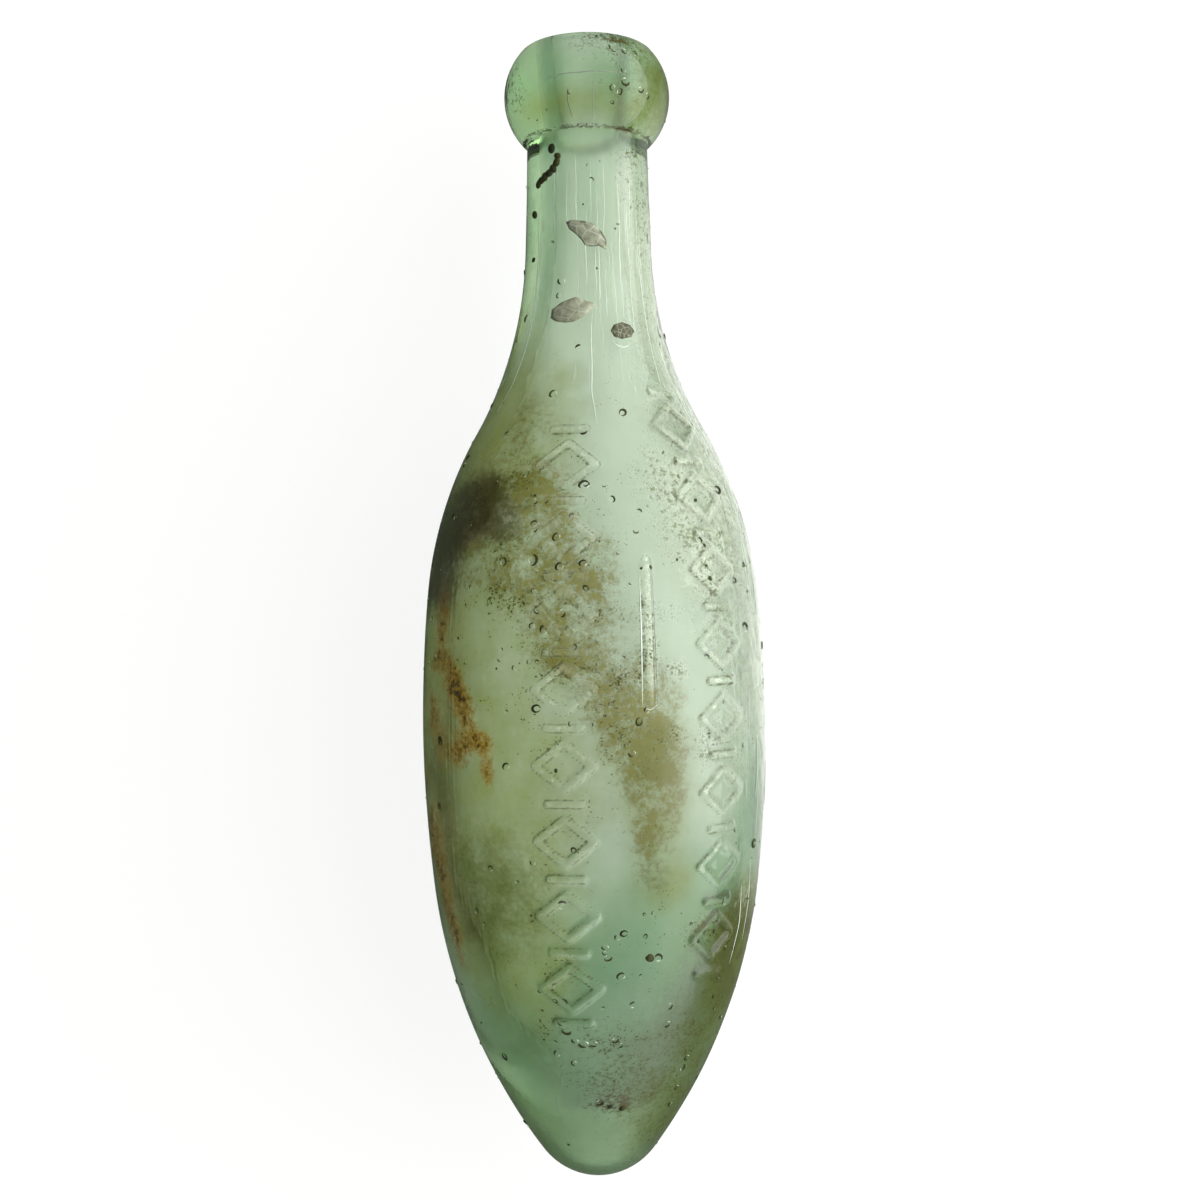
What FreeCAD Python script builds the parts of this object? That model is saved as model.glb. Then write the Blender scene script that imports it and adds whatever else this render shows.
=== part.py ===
import FreeCAD, Part
import math
import os
import Sketcher

# A pointed glass bottle for aerated water, lying on its side as it does in use.
# Its axis runs along Y with the neck towards +Y, Z is up, and the origin is on the floor
# under the middle of its length. Lengths are in millimetres.

# Driving dimensions
# Heights are measured along the axis from the pointed tip.
SIZES = [
    ("bottle_height", 230.0, "from the tip to the top of the lip"),
    ("belly_width", 70.2, "greatest diameter"),
    ("belly_height", 92.1, "height of the greatest diameter"),
    ("belly_radius", 269.0, "curve of the belly, seen from the side"),
    ("belly_drop", 30.7, "how far the belly's curve runs down from the greatest diameter"),
    ("belly_rise", 28.3, "how far the belly's curve runs up from the greatest diameter"),
    ("tip_radius", 14.7, "curve of the rounded point"),
    ("neck_width", 26.0, "diameter of the neck at its foot"),
    ("neck_length", 22.0, "straight neck between its foot and the lip's ledge"),
    ("neck_taper", 1.55, "lean of the neck's side, in degrees"),
    ("lip_depth", 18.8, "from the top of the lip down to its ledge"),
    ("lip_width", 34.0, "greatest diameter of the lip"),
    ("lip_crown", 9.5, "from the top down to the lip's greatest diameter"),
    ("lip_upper_radius", 13.25, "curve of the lip above its greatest diameter"),
    ("lip_lower_radius", 13.25, "curve of the lip below its greatest diameter"),
    ("lip_edge_radius", 2.1, "rounding between the lip's side and its top"),
    ("bore_width", 13.2, "diameter of the mouth and the bore"),
    ("bore_length", 35.0, "straight bore, from the top of the lip to its foot"),
    ("mouth_radius", 1.6, "rounding of the mouth's rim"),
    ("belly_wall", 4.6, "thickness of the glass at the belly"),
    ("base_thickness", 16.0, "glass between the tip and the cavity"),
    ("cavity_tip_radius", 12.0, "curve of the cavity's lower end"),
    ("cavity_drop", 25.0, "how far the cavity's belly runs down from the greatest diameter"),
    ("cavity_rise", 20.0, "how far the cavity's belly runs up from the greatest diameter"),
    ("cavity_shift", 0.8, "how far the cavity lies off centre, towards the upper side"),
    ("rib_turn", 17.5, "turn of the raised rib to the right of the upper side, in degrees"),
    ("rib_foot", 97.6, "height where the rib starts"),
    ("rib_length", 28.0, "length of the rib along the bottle"),
    ("rib_width", 1.8, "width of the rib"),
    ("rib_relief", 0.6, "how far the rib stands out from the glass"),
]

# How far a cutting form runs out past the glass
BREAKOUT = 5.0

# Two places this close together are the same
TOUCH = 0.001

# Names for the parts of a sketch's geometry
ORIGIN, AXIS = range(-1, -3, -1)
START, END, CENTRE = range(1, 4)

doc = FreeCAD.newDocument("hamilton_bottle")
sheet = doc.addObject("Spreadsheet::Sheet", "Sizes")
for row, (alias, value, note) in enumerate(SIZES, start=1):
    sheet.set(f"A{row}", alias)
    sheet.set(f"B{row}", str(value))
    sheet.set(f"C{row}", note)
    sheet.setAlias(f"B{row}", alias)
doc.recompute()


def measure(formula):
    """Return the present value of a formula on the sheet."""
    return float(sheet.evalExpression(formula))


# Sketch helpers

def point(x, y):
    """Return a point in the plane of a sketch."""
    return FreeCAD.Vector(x, y, 0)


def direction(angle):
    """Return the direction at an angle from the sketch's X axis, as a vector of length 1."""
    return point(math.cos(angle), math.sin(angle))


def turn(centre, place):
    """Return the angle from a centre to a place."""
    return math.atan2(place.y - centre.y, place.x - centre.x)


def add_arc(sketch, centre, start, end):
    """Add the arc that runs anticlockwise from start to end, and return its number."""
    circle = Part.Circle(centre, FreeCAD.Vector(0, 0, 1), (start - centre).Length)
    arc = Part.ArcOfCircle(circle, turn(centre, start), turn(centre, end))
    return sketch.addGeometry(arc, False)


def add_line(sketch, start, end):
    """Add a straight line and return its number."""
    return sketch.addGeometry(Part.LineSegment(start, end), False)


def join(sketch, kind, first, first_end, second, second_end):
    """Join two ends, smoothly for Tangent or at a corner for Coincident."""
    sketch.addConstraint(Sketcher.Constraint(kind, first, first_end, second, second_end))


def hold_on_axis(sketch, item, end):
    """Hold a point on the sketch's Y axis."""
    sketch.addConstraint(Sketcher.Constraint("PointOnObject", item, end, AXIS))


def bind(sketch, kind, targets, formula):
    """Add a constraint whose value follows a formula on the sheet."""
    number = sketch.addConstraint(Sketcher.Constraint(kind, *targets, measure(formula)))
    sketch.setExpression(f"Constraints[{number}]", formula)


def bind_radius(sketch, arc, formula):
    """Bind the radius of an arc."""
    bind(sketch, "Radius", (arc,), formula)


def bind_reach(sketch, item, end, formula):
    """Bind how far out from the axis a point is."""
    bind(sketch, "DistanceX", (ORIGIN, START, item, end), formula)


def bind_inset(sketch, item, end, formula):
    """Bind how far a point lies beyond the axis, on the side away from the outline."""
    bind(sketch, "DistanceX", (item, end, ORIGIN, START), formula)


def bind_height(sketch, item, end, formula):
    """Bind how far along the axis a point is from the tip."""
    bind(sketch, "DistanceY", (ORIGIN, START, item, end), formula)


# The bulb's outline, used for the outside, the cavity and the skin of the raised rib

def flank_reach(joint, outward, tip_centre, tip):
    """Return the radius of the arc that meets the belly at the joint and touches the tip."""
    across = joint - tip_centre
    return (across.dot(across) - tip**2) / (2 * (across.dot(outward) - tip))


def shoulder_reach(joint, joint_outward, foot, foot_outward):
    """Return the one radius of two arcs that swing from the belly's joint to the neck's foot."""
    across = joint - foot
    both = joint_outward + foot_outward
    spread = across.dot(across)
    slant = 2 * across.dot(both)
    return 2 * spread / (slant + math.sqrt(slant**2 + 4 * (4 - both.dot(both)) * spread))


def add_bulb(sketch, form):
    """Draw the side of a pointed bulb, from its tip to the top of its neck.

    The chain is the tip, the flank, the belly, the shoulder, the hollow root and the neck.
    Each meets the next smoothly. The flank's radius follows from its neighbours, and so does
    the radius that the shoulder and the root share. Returns the numbers of the tip's arc and
    the neck's line.
    """
    value = {name: measure(formula) for name, formula in form.items()}
    belly_centre = point(value["half_width"] - value["belly_radius"], value["belly_height"])
    lower_way = direction(-math.asin(value["belly_drop"] / value["belly_radius"]))
    upper_way = direction(math.asin(value["belly_rise"] / value["belly_radius"]))
    belly_start = belly_centre + lower_way * value["belly_radius"]
    belly_end = belly_centre + upper_way * value["belly_radius"]

    tip_start = point(0, value["tip_height"])
    tip_centre = point(0, value["tip_height"] + value["tip_radius"])
    flank_radius = flank_reach(belly_start, lower_way, tip_centre, value["tip_radius"])
    flank_centre = belly_start - lower_way * flank_radius
    tip_end = tip_centre + direction(turn(flank_centre, tip_centre)) * value["tip_radius"]

    foot = point(value["foot_reach"], value["foot_height"])
    top = point(value["top_reach"], value["top_height"])
    neck_way = direction(math.atan2(foot.x - top.x, top.y - foot.y))
    shared_radius = shoulder_reach(belly_end, upper_way, foot, neck_way)
    shoulder_centre = belly_end - upper_way * shared_radius
    root_centre = foot + neck_way * shared_radius
    swing = (shoulder_centre + root_centre) / 2

    tip = add_arc(sketch, tip_centre, tip_start, tip_end)
    flank = add_arc(sketch, flank_centre, tip_end, belly_start)
    belly = add_arc(sketch, belly_centre, belly_start, belly_end)
    shoulder = add_arc(sketch, shoulder_centre, belly_end, swing)
    root = add_arc(sketch, root_centre, foot, swing)
    neck = add_line(sketch, foot, top)

    join(sketch, "Tangent", tip, END, flank, START)
    join(sketch, "Tangent", flank, END, belly, START)
    join(sketch, "Tangent", belly, END, shoulder, START)
    join(sketch, "Tangent", shoulder, END, root, END)
    join(sketch, "Tangent", root, START, neck, START)
    sketch.addConstraint(Sketcher.Constraint("Equal", shoulder, root))
    hold_on_axis(sketch, tip, START)
    hold_on_axis(sketch, tip, CENTRE)
    bind_height(sketch, tip, CENTRE, f"{form['tip_height']} + {form['tip_radius']}")
    bind_radius(sketch, tip, form["tip_radius"])
    bind_radius(sketch, belly, form["belly_radius"])
    bind_inset(sketch, belly, CENTRE, f"{form['belly_radius']} - ({form['half_width']})")
    bind_height(sketch, belly, CENTRE, form["belly_height"])
    bind_height(sketch, belly, START, f"{form['belly_height']} - {form['belly_drop']}")
    bind_height(sketch, belly, END, f"{form['belly_height']} + {form['belly_rise']}")
    bind_reach(sketch, neck, START, form["foot_reach"])
    bind_height(sketch, neck, START, form["foot_height"])
    bind_reach(sketch, neck, END, form["top_reach"])
    bind_height(sketch, neck, END, form["top_height"])
    return tip, neck


def add_flat_top(sketch, side):
    """Draw a straight line from the top of a side in to the axis, and return its number."""
    start = sketch.Geometry[side].EndPoint
    top = add_line(sketch, start, point(0, start.y))
    join(sketch, "Coincident", side, END, top, START)
    sketch.addConstraint(Sketcher.Constraint("Horizontal", top))
    return top


def close_on_axis(sketch, top, tip):
    """Close an outline with a straight line along the axis, from its top back to its tip."""
    start = sketch.Geometry[top].EndPoint
    axis_side = add_line(sketch, start, sketch.Geometry[tip].StartPoint)
    join(sketch, "Coincident", top, END, axis_side, START)
    join(sketch, "Coincident", axis_side, END, tip, START)
    hold_on_axis(sketch, axis_side, START)


def new_body(name, label):
    """Add an empty body."""
    body = doc.addObject("PartDesign::Body", name)
    body.Label = label
    return body


def new_outline(body, name):
    """Add a sketch in the plane that holds the bottle's axis."""
    plane = next(item for item in body.Origin.OriginFeatures if item.Role == "XY_Plane")
    sketch = body.newObject("Sketcher::SketchObject", name)
    sketch.AttachmentSupport = [(plane, "")]
    sketch.MapMode = "FlatFace"
    return sketch


def revolve(body, outline, name):
    """Turn an outline once round the axis."""
    doc.recompute()
    solid = body.newObject("PartDesign::Revolution", name)
    solid.Profile = outline
    solid.ReferenceAxis = (outline, ["V_Axis"])
    solid.Angle = 360.0


# The outside: the body and neck, with the lip that was applied over them

def add_lip(sketch, neck):
    """Draw the applied lip: its ledge over the neck, its two curves, its edge and its top.

    Returns the number of the line along the top, which ends on the axis.
    """
    height = measure("Sizes.bottle_height")
    crown_height = height - measure("Sizes.lip_crown")
    ledge_height = measure(LEDGE_HEIGHT)
    half_width = measure("Sizes.lip_width / 2")
    upper = measure("Sizes.lip_upper_radius")
    lower = measure("Sizes.lip_lower_radius")
    edge = measure("Sizes.lip_edge_radius")
    upper_centre = point(half_width - upper, crown_height)
    lower_centre = point(half_width - lower, crown_height)
    crown = point(half_width, crown_height)
    edge_rise = height - edge - crown_height
    edge_reach = math.sqrt((upper - edge)**2 - edge_rise**2)
    edge_centre = upper_centre + point(edge_reach, edge_rise)
    edge_start = edge_centre + direction(turn(upper_centre, edge_centre)) * edge
    ledge_reach = math.sqrt(lower**2 - (crown_height - ledge_height)**2)
    corner = point(lower_centre.x + ledge_reach, ledge_height)

    ledge = add_line(sketch, sketch.Geometry[neck].EndPoint, corner)
    lower_side = add_arc(sketch, lower_centre, corner, crown)
    upper_side = add_arc(sketch, upper_centre, crown, edge_start)
    edge_arc = add_arc(sketch, edge_centre, edge_start, point(edge_centre.x, height))
    top = add_line(sketch, point(edge_centre.x, height), point(0, height))

    join(sketch, "Coincident", neck, END, ledge, START)
    join(sketch, "Coincident", ledge, END, lower_side, START)
    join(sketch, "Tangent", lower_side, END, upper_side, START)
    join(sketch, "Tangent", upper_side, END, edge_arc, START)
    join(sketch, "Tangent", edge_arc, END, top, START)
    sketch.addConstraint(Sketcher.Constraint("Horizontal", ledge))
    sketch.addConstraint(Sketcher.Constraint("Horizontal", top))
    bind_radius(sketch, lower_side, "Sizes.lip_lower_radius")
    bind_radius(sketch, upper_side, "Sizes.lip_upper_radius")
    bind_radius(sketch, edge_arc, "Sizes.lip_edge_radius")
    bind_reach(sketch, lower_side, END, "Sizes.lip_width / 2")
    bind_height(sketch, lower_side, END, "Sizes.bottle_height - Sizes.lip_crown")
    bind_height(sketch, lower_side, CENTRE, "Sizes.bottle_height - Sizes.lip_crown")
    bind_height(sketch, top, START, "Sizes.bottle_height")
    return top


LEDGE_HEIGHT = "Sizes.bottle_height - Sizes.lip_depth"
OUTSIDE = {
    "tip_height": "0",
    "tip_radius": "Sizes.tip_radius",
    "half_width": "Sizes.belly_width / 2",
    "belly_height": "Sizes.belly_height",
    "belly_radius": "Sizes.belly_radius",
    "belly_drop": "Sizes.belly_drop",
    "belly_rise": "Sizes.belly_rise",
    "foot_reach": "Sizes.neck_width / 2",
    "foot_height": f"{LEDGE_HEIGHT} - Sizes.neck_length",
    "top_reach": "Sizes.neck_width / 2 - Sizes.neck_length * tan(Sizes.neck_taper * 1 deg)",
    "top_height": LEDGE_HEIGHT,
}

gather = new_body("Gather", "blown glass")
outside = new_outline(gather, "Outside")
outside_tip, outside_neck = add_bulb(outside, OUTSIDE)
outside_top = add_lip(outside, outside_neck)
close_on_axis(outside, outside_top, outside_tip)
revolve(gather, outside, "GatherForm")

# The cavity and the bore, a little off centre so that the glass is thicker underneath

CAVITY = {
    "tip_height": "Sizes.base_thickness",
    "tip_radius": "Sizes.cavity_tip_radius",
    "half_width": "Sizes.belly_width / 2 - Sizes.belly_wall",
    "belly_height": "Sizes.belly_height",
    "belly_radius": "Sizes.belly_radius - Sizes.belly_wall",
    "belly_drop": "Sizes.cavity_drop",
    "belly_rise": "Sizes.cavity_rise",
    "foot_reach": "Sizes.bore_width / 2",
    "foot_height": "Sizes.bottle_height - Sizes.bore_length",
    "top_reach": "Sizes.bore_width / 2",
    "top_height": f"Sizes.bottle_height + {BREAKOUT}",
}

cavity = new_body("Cavity", "cavity and bore")
inside = new_outline(cavity, "Inside")
inside_tip, bore_side = add_bulb(inside, CAVITY)
bore_top = add_flat_top(inside, bore_side)
close_on_axis(inside, bore_top, inside_tip)
revolve(cavity, inside, "CavityForm")
cavity.setExpression("Placement.Base.z", "Sizes.cavity_shift")

# The plain raised rib, as a bar that ends at a skin just outside the glass

SKIN = dict(
    OUTSIDE,
    tip_height="-Sizes.rib_relief",
    tip_radius="Sizes.tip_radius + Sizes.rib_relief",
    half_width="Sizes.belly_width / 2 + Sizes.rib_relief",
    belly_radius="Sizes.belly_radius + Sizes.rib_relief",
    foot_reach=f"{OUTSIDE['foot_reach']} + Sizes.rib_relief",
    top_reach=f"{OUTSIDE['top_reach']} + Sizes.rib_relief",
)

skin = new_body("Skin", "outer limit of the rib")
limit = new_outline(skin, "Limit")
limit_tip, limit_neck = add_bulb(limit, SKIN)
limit_top = add_flat_top(limit, limit_neck)
close_on_axis(limit, limit_top, limit_tip)
revolve(skin, limit, "SkinForm")

rib_bar = doc.addObject("Part::Box", "RibBar")
rib_bar.setExpression("Length", "Sizes.rib_width")
rib_bar.setExpression("Width", "Sizes.rib_length")
rib_bar.setExpression("Height", f"Sizes.belly_width / 2 + {BREAKOUT}")
rib_turn = FreeCAD.Rotation(FreeCAD.Vector(0, 1, 0), measure("Sizes.rib_turn"))
rib_bar.Placement.Rotation = rib_turn
rib_bar.setExpression("Placement.Rotation.Angle", "Sizes.rib_turn")
rib_bar.setExpression("Placement.Base.x", "-Sizes.rib_width / 2 * cos(Sizes.rib_turn * 1 deg)")
rib_bar.setExpression("Placement.Base.y", "Sizes.rib_foot")
rib_bar.setExpression("Placement.Base.z", "Sizes.rib_width / 2 * sin(Sizes.rib_turn * 1 deg)")
rib = doc.addObject("Part::Common", "Rib")
rib.Label = "raised rib"
rib.Base = skin
rib.Tool = rib_bar

# The bottle: the rib fused to the blown glass, the cavity cut out and the mouth's rim rounded

solid_bottle = doc.addObject("Part::Fuse", "SolidBottle")
solid_bottle.Base = gather
solid_bottle.Tool = rib
hollow_bottle = doc.addObject("Part::Cut", "HollowBottle")
hollow_bottle.Base = solid_bottle
hollow_bottle.Tool = cavity
doc.recompute()


def rim_edge(shape, radius, height):
    """Return the number of the round edge with this radius at this height."""
    for number, edge in enumerate(shape.Edges, start=1):
        if edge.Degenerated or not isinstance(edge.Curve, Part.Circle):
            continue
        circle = edge.Curve
        if abs(circle.Radius - radius) < TOUCH and abs(circle.Center.y - height) < TOUCH:
            return number
    raise RuntimeError("the mouth has no rim")


rim = rim_edge(
    hollow_bottle.Shape, measure("Sizes.bore_width / 2"), measure("Sizes.bottle_height")
)
rim_radius = measure("Sizes.mouth_radius")
bottle = doc.addObject("Part::Fillet", "Bottle")
bottle.Label = "bottle"
bottle.Base = hollow_bottle
bottle.Edges = [(rim, rim_radius, rim_radius)]

# The bottle lies along Y, with its belly on the floor
bottle.setExpression("Placement.Base.y", "-Sizes.bottle_height / 2")
bottle.setExpression("Placement.Base.z", "Sizes.belly_width / 2")
doc.recompute()


# Checks, then the STEP file

def check_document():
    """Stop if any object failed, or if the rib or the cavity changed nothing."""
    for item in doc.Objects:
        if "Invalid" in item.State or "Error" in item.State:
            raise RuntimeError(f"{item.Name} failed: {item.State}")
        if item.TypeId == "Sketcher::SketchObject" and not item.FullyConstrained:
            raise RuntimeError(f"{item.Name} is not fully constrained")
    if solid_bottle.Shape.Volume <= gather.Shape.Volume:
        raise RuntimeError("the rib added nothing")
    if hollow_bottle.Shape.Volume >= solid_bottle.Shape.Volume:
        raise RuntimeError("the cavity cut nothing")


def write_parts(nodes):
    """Write each sub-part to its own file, named by its Label."""
    os.makedirs("parts", exist_ok=True)
    for node in nodes:
        shape = node.Shape
        if shape.isNull() or not shape.isValid():
            raise RuntimeError(f"{node.Label} has no valid shape")
        shape.exportStep(f"parts/{node.Label}.step")
        box = shape.optimalBoundingBox()
        print(
            f"{node.Label}: {len(shape.Solids)} solid, {shape.Volume / 1000:.1f} ml of glass, "
            f"{box.XLength:.2f} x {box.YLength:.2f} x {box.ZLength:.2f}"
        )


check_document()
write_parts([bottle])
room = solid_bottle.Shape.Volume - hollow_bottle.Shape.Volume
balance = bottle.Shape.CenterOfGravity
print(f"cavity and bore {room / 1000:.1f} ml, balance point at {balance.y:.2f}, {balance.z:.2f}")
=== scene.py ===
"""Looks of an old pointed glass bottle for aerated water, lying on its side."""

import logging
import math
from dataclasses import dataclass
from enum import Enum

import bpy
import numpy as np
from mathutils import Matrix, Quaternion, Vector


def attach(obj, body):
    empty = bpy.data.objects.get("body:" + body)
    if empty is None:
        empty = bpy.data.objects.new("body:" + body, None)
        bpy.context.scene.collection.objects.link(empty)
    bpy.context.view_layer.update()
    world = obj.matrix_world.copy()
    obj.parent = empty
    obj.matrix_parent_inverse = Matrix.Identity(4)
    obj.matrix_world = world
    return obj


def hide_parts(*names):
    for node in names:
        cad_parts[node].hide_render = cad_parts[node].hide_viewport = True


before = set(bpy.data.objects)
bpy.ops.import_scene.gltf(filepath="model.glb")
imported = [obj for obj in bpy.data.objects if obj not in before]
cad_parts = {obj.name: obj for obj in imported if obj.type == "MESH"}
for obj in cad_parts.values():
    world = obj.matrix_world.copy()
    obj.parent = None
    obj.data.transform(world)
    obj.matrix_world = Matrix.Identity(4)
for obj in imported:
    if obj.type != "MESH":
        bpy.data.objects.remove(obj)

LOG = logging.getLogger("bottle")

# Short names for types: a colour or a place, a pair of numbers, and a node's input or output
Triple = tuple[float, float, float]
Span = tuple[float, float]
Socket = bpy.types.NodeSocket

# Metres in a millimetre
MM = 0.001

# Where the bottle lies: its axis runs along Y at this height, and its tip is this far back
AXIS_HEIGHT = 35.1
TIP_PLACE = -115.0

# How far the belly reaches from the axis, rounded, which thins scattered work out on the neck
WIDEST_REACH = 35

# Where a patch of stain has faded out, as a share of its half sizes, and how steeply it fades
PATCH_RIM = 1.25
PATCH_FALL = 0.8

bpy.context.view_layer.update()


class Wall(Enum):
    """The two surfaces of the glass."""

    OUTER = "outer"
    INNER = "inner"


class Deposit(Enum):
    """Kinds of stain and dirt, each kept as an attribute of the mesh; two of them also carry painted light,
    as noted below.
    """

    TINGE = "tinge"
    FILM = "film"
    BROWN = "brown"
    DARK = "dark"
    RUST = "rust"
    SPECKLE = "speckle"
    GRIME = "grime"
    FROST = "frost"
    # Pale weathering, also a painted highlight on the right side and on the tops of the raised work
    LIME_SHEEN = "lime"
    GRAIN = "grain"
    CRUST = "crust"
    # Dirt along both edges of the raised work's strokes, darkened there as painted shade too
    CREASE_DIRT_SHADE = "crease"


def arc_points(centre: np.ndarray, start: np.ndarray, end: np.ndarray, step: float) -> np.ndarray:
    """Sample the shorter arc between two places round a centre.

    Args:
        centre: The arc's centre, as reach from the axis and height.
        start: Where the arc starts.
        end: Where the arc ends.
        step: Greatest distance between samples, in millimetres.

    Returns:
        Places along the arc, both ends included.
    """
    from_start = start - centre
    from_end = end - centre
    radius = float(np.hypot(*from_start))
    first = math.atan2(from_start[1], from_start[0])
    sweep = math.atan2(from_end[1], from_end[0]) - first
    sweep = (sweep + math.pi) % (2 * math.pi) - math.pi
    count = max(2, int(math.ceil(abs(sweep) * radius / step)) + 1)
    angles = first + np.linspace(0.0, sweep, count)
    return centre + radius * np.stack([np.cos(angles), np.sin(angles)], axis=1)


def line_points(start: np.ndarray, end: np.ndarray, step: float) -> np.ndarray:
    """Sample a straight line.

    Args:
        start: Where the line starts.
        end: Where the line ends.
        step: Greatest distance between samples, in millimetres.

    Returns:
        Places along the line, both ends included.
    """
    count = max(2, int(math.ceil(float(np.hypot(*(end - start))) / step)) + 1)
    share = np.linspace(0.0, 1.0, count)[:, None]
    return start * (1 - share) + end * share


@dataclass(frozen=True)
class Places:
    """Places round the bottle's axis.

    Turns go from the upper side, in radians. Heights above the tip and reaches from the axis
    are in millimetres.
    """

    turn: np.ndarray
    along: np.ndarray
    reach: np.ndarray

    def points(self) -> np.ndarray:
        """Turn the places into points of the frame.

        Returns:
            One row for each point, in millimetres.
        """
        across = self.reach * np.sin(self.turn)
        up = self.reach * np.cos(self.turn)
        return np.stack([across, self.along + TIP_PLACE, up + AXIS_HEIGHT], axis=1)


def add_object(name: str, data: bpy.types.ID) -> bpy.types.Object:
    """Link a new object to the scene.

    Args:
        name: What the object is called.
        data: Its mesh, lamp or camera.

    Returns:
        The object.
    """
    made = bpy.data.objects.new(name, data)
    bpy.context.scene.collection.objects.link(made)
    return made


def add_piece(name: str, points: np.ndarray, faces: list, numbers: dict) -> bpy.types.Object:
    """Make a smooth mesh that carries numbers on its vertices.

    Args:
        name: What the mesh and the object are called.
        points: Places in millimetres.
        faces: Vertex numbers of each face.
        numbers: Values for every vertex, by the attribute's name.

    Returns:
        The new object, at the origin.
    """
    mesh = bpy.data.meshes.new(name)
    mesh.from_pydata((points * MM).tolist(), [], faces)
    mesh.polygons.foreach_set("use_smooth", np.ones(len(faces), bool))
    for key, values in numbers.items():
        kept = mesh.attributes.new(key, "FLOAT", "POINT")
        kept.data.foreach_set("value", np.asarray(values, np.float32))
    mesh.update()
    return add_object(name, mesh)


@dataclass(frozen=True)
class Bulb:
    """The side of a pointed bulb, from its tip to the top of its neck, in millimetres."""

    tip_height: float
    tip_radius: float
    half_width: float
    belly_height: float
    belly_radius: float
    belly_drop: float
    belly_rise: float
    foot: Span
    top: Span

    def outline(self, step: float) -> np.ndarray:
        """Trace the tip, flank, belly, shoulder, hollow root and neck, each tangent to the next.

        Args:
            step: Greatest distance between samples.

        Returns:
            Places as reach from the axis and height above the tip.
        """
        belly_centre = np.array([self.half_width - self.belly_radius, self.belly_height])
        lower = self._belly_way(-self.belly_drop)
        upper = self._belly_way(self.belly_rise)
        belly_start = belly_centre + lower * self.belly_radius
        belly_end = belly_centre + upper * self.belly_radius

        tip_centre = np.array([0.0, self.tip_height + self.tip_radius])
        across = belly_start - tip_centre
        flank_radius = (across @ across - self.tip_radius**2) / (2 * (across @ lower - self.tip_radius))
        flank_centre = belly_start - lower * flank_radius
        away = tip_centre - flank_centre
        tip_end = tip_centre + away / np.hypot(*away) * self.tip_radius

        foot = np.array(self.foot)
        top = np.array(self.top)
        neck = (top - foot) / np.hypot(*(top - foot))
        neck_way = np.array([neck[1], -neck[0]])
        gap = belly_end - foot
        both = upper + neck_way
        slant = 2 * gap @ both
        shared = 2 * gap @ gap / (slant + math.sqrt(slant**2 + 4 * (4 - both @ both) * (gap @ gap)))
        shoulder_centre = belly_end - upper * shared
        root_centre = foot + neck_way * shared
        swing = (shoulder_centre + root_centre) / 2

        return np.concatenate([
            arc_points(tip_centre, np.array([0.0, self.tip_height]), tip_end, step),
            arc_points(flank_centre, tip_end, belly_start, step)[1:],
            arc_points(belly_centre, belly_start, belly_end, step)[1:],
            arc_points(shoulder_centre, belly_end, swing, step)[1:],
            arc_points(root_centre, swing, foot, step)[1:],
            line_points(foot, top, step)[1:],
        ])

    def _belly_way(self, rise: float) -> np.ndarray:
        """Return the direction from the belly's centre of curve to a joint at this rise."""
        sine = rise / self.belly_radius
        return np.array([math.sqrt(1 - sine**2), sine])


@dataclass(frozen=True)
class Lip:
    """The applied lip, in millimetres."""

    top: float = 230.0
    depth: float = 18.8
    half_width: float = 17.0
    crown_depth: float = 9.5
    side_radius: float = 13.25
    edge_radius: float = 2.1
    bore_radius: float = 6.6
    mouth_radius: float = 1.6

    def outline(self, neck_reach: float, step: float) -> np.ndarray:
        """Trace the ledge, the round side, the edge, the flat top and the mouth's rim.

        Args:
            neck_reach: How far out the neck is where the ledge starts.
            step: Greatest distance between samples.

        Returns:
            Places from the neck over the lip and down to the start of the bore.
        """
        crown = self.top - self.crown_depth
        ledge = self.top - self.depth
        side_centre = np.array([self.half_width - self.side_radius, crown])
        bulge = math.sqrt(self.side_radius**2 - (crown - ledge) ** 2)
        corner = side_centre + np.array([bulge, ledge - crown])
        rise = self.top - self.edge_radius - crown
        reach = math.sqrt((self.side_radius - self.edge_radius) ** 2 - rise**2)
        edge_centre = side_centre + np.array([reach, rise])
        edge_start = edge_centre + np.array([reach, rise]) / np.hypot(reach, rise) * self.edge_radius
        edge_end = edge_centre + np.array([0.0, self.edge_radius])
        rim_centre = np.array([self.bore_radius + self.mouth_radius, self.top - self.mouth_radius])
        rim_start = rim_centre + np.array([0.0, self.mouth_radius])
        rim_end = rim_centre - np.array([self.mouth_radius, 0.0])
        return np.concatenate([
            line_points(np.array([neck_reach, ledge]), corner, step),
            arc_points(side_centre, corner, edge_start, step)[1:],
            arc_points(edge_centre, edge_start, edge_end, step)[1:],
            line_points(edge_end, rim_start, step)[1:],
            arc_points(rim_centre, rim_start, rim_end, step)[1:],
        ])


@dataclass(frozen=True)
class Waves:
    """Unevenness of hand-made glass, as a sum of slow waves over a surface of revolution."""

    depth: float
    longest: float
    shortest: float
    count: int
    seed: int

    def height(self, at: Places) -> np.ndarray:
        """Work out the height of the waves at each place.

        Args:
            at: The places.

        Returns:
            Heights in millimetres, from nought down to twice the depth.
        """
        random = np.random.default_rng(self.seed)
        across = at.reach * np.sin(at.turn)
        up = at.reach * np.cos(at.turn)
        total = np.zeros_like(at.turn)
        for _ in range(self.count):
            length = self.shortest * (self.longest / self.shortest) ** random.random()
            way = random.normal(size=3)
            way /= np.linalg.norm(way)
            phase = random.uniform(0, 2 * math.pi)
            walked = across * way[0] + at.along * way[1] + up * way[2]
            total += np.sin(2 * math.pi / length * walked + phase)
        return self.depth * (np.clip(total / math.sqrt(self.count), -1, 1) - 1)


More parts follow.
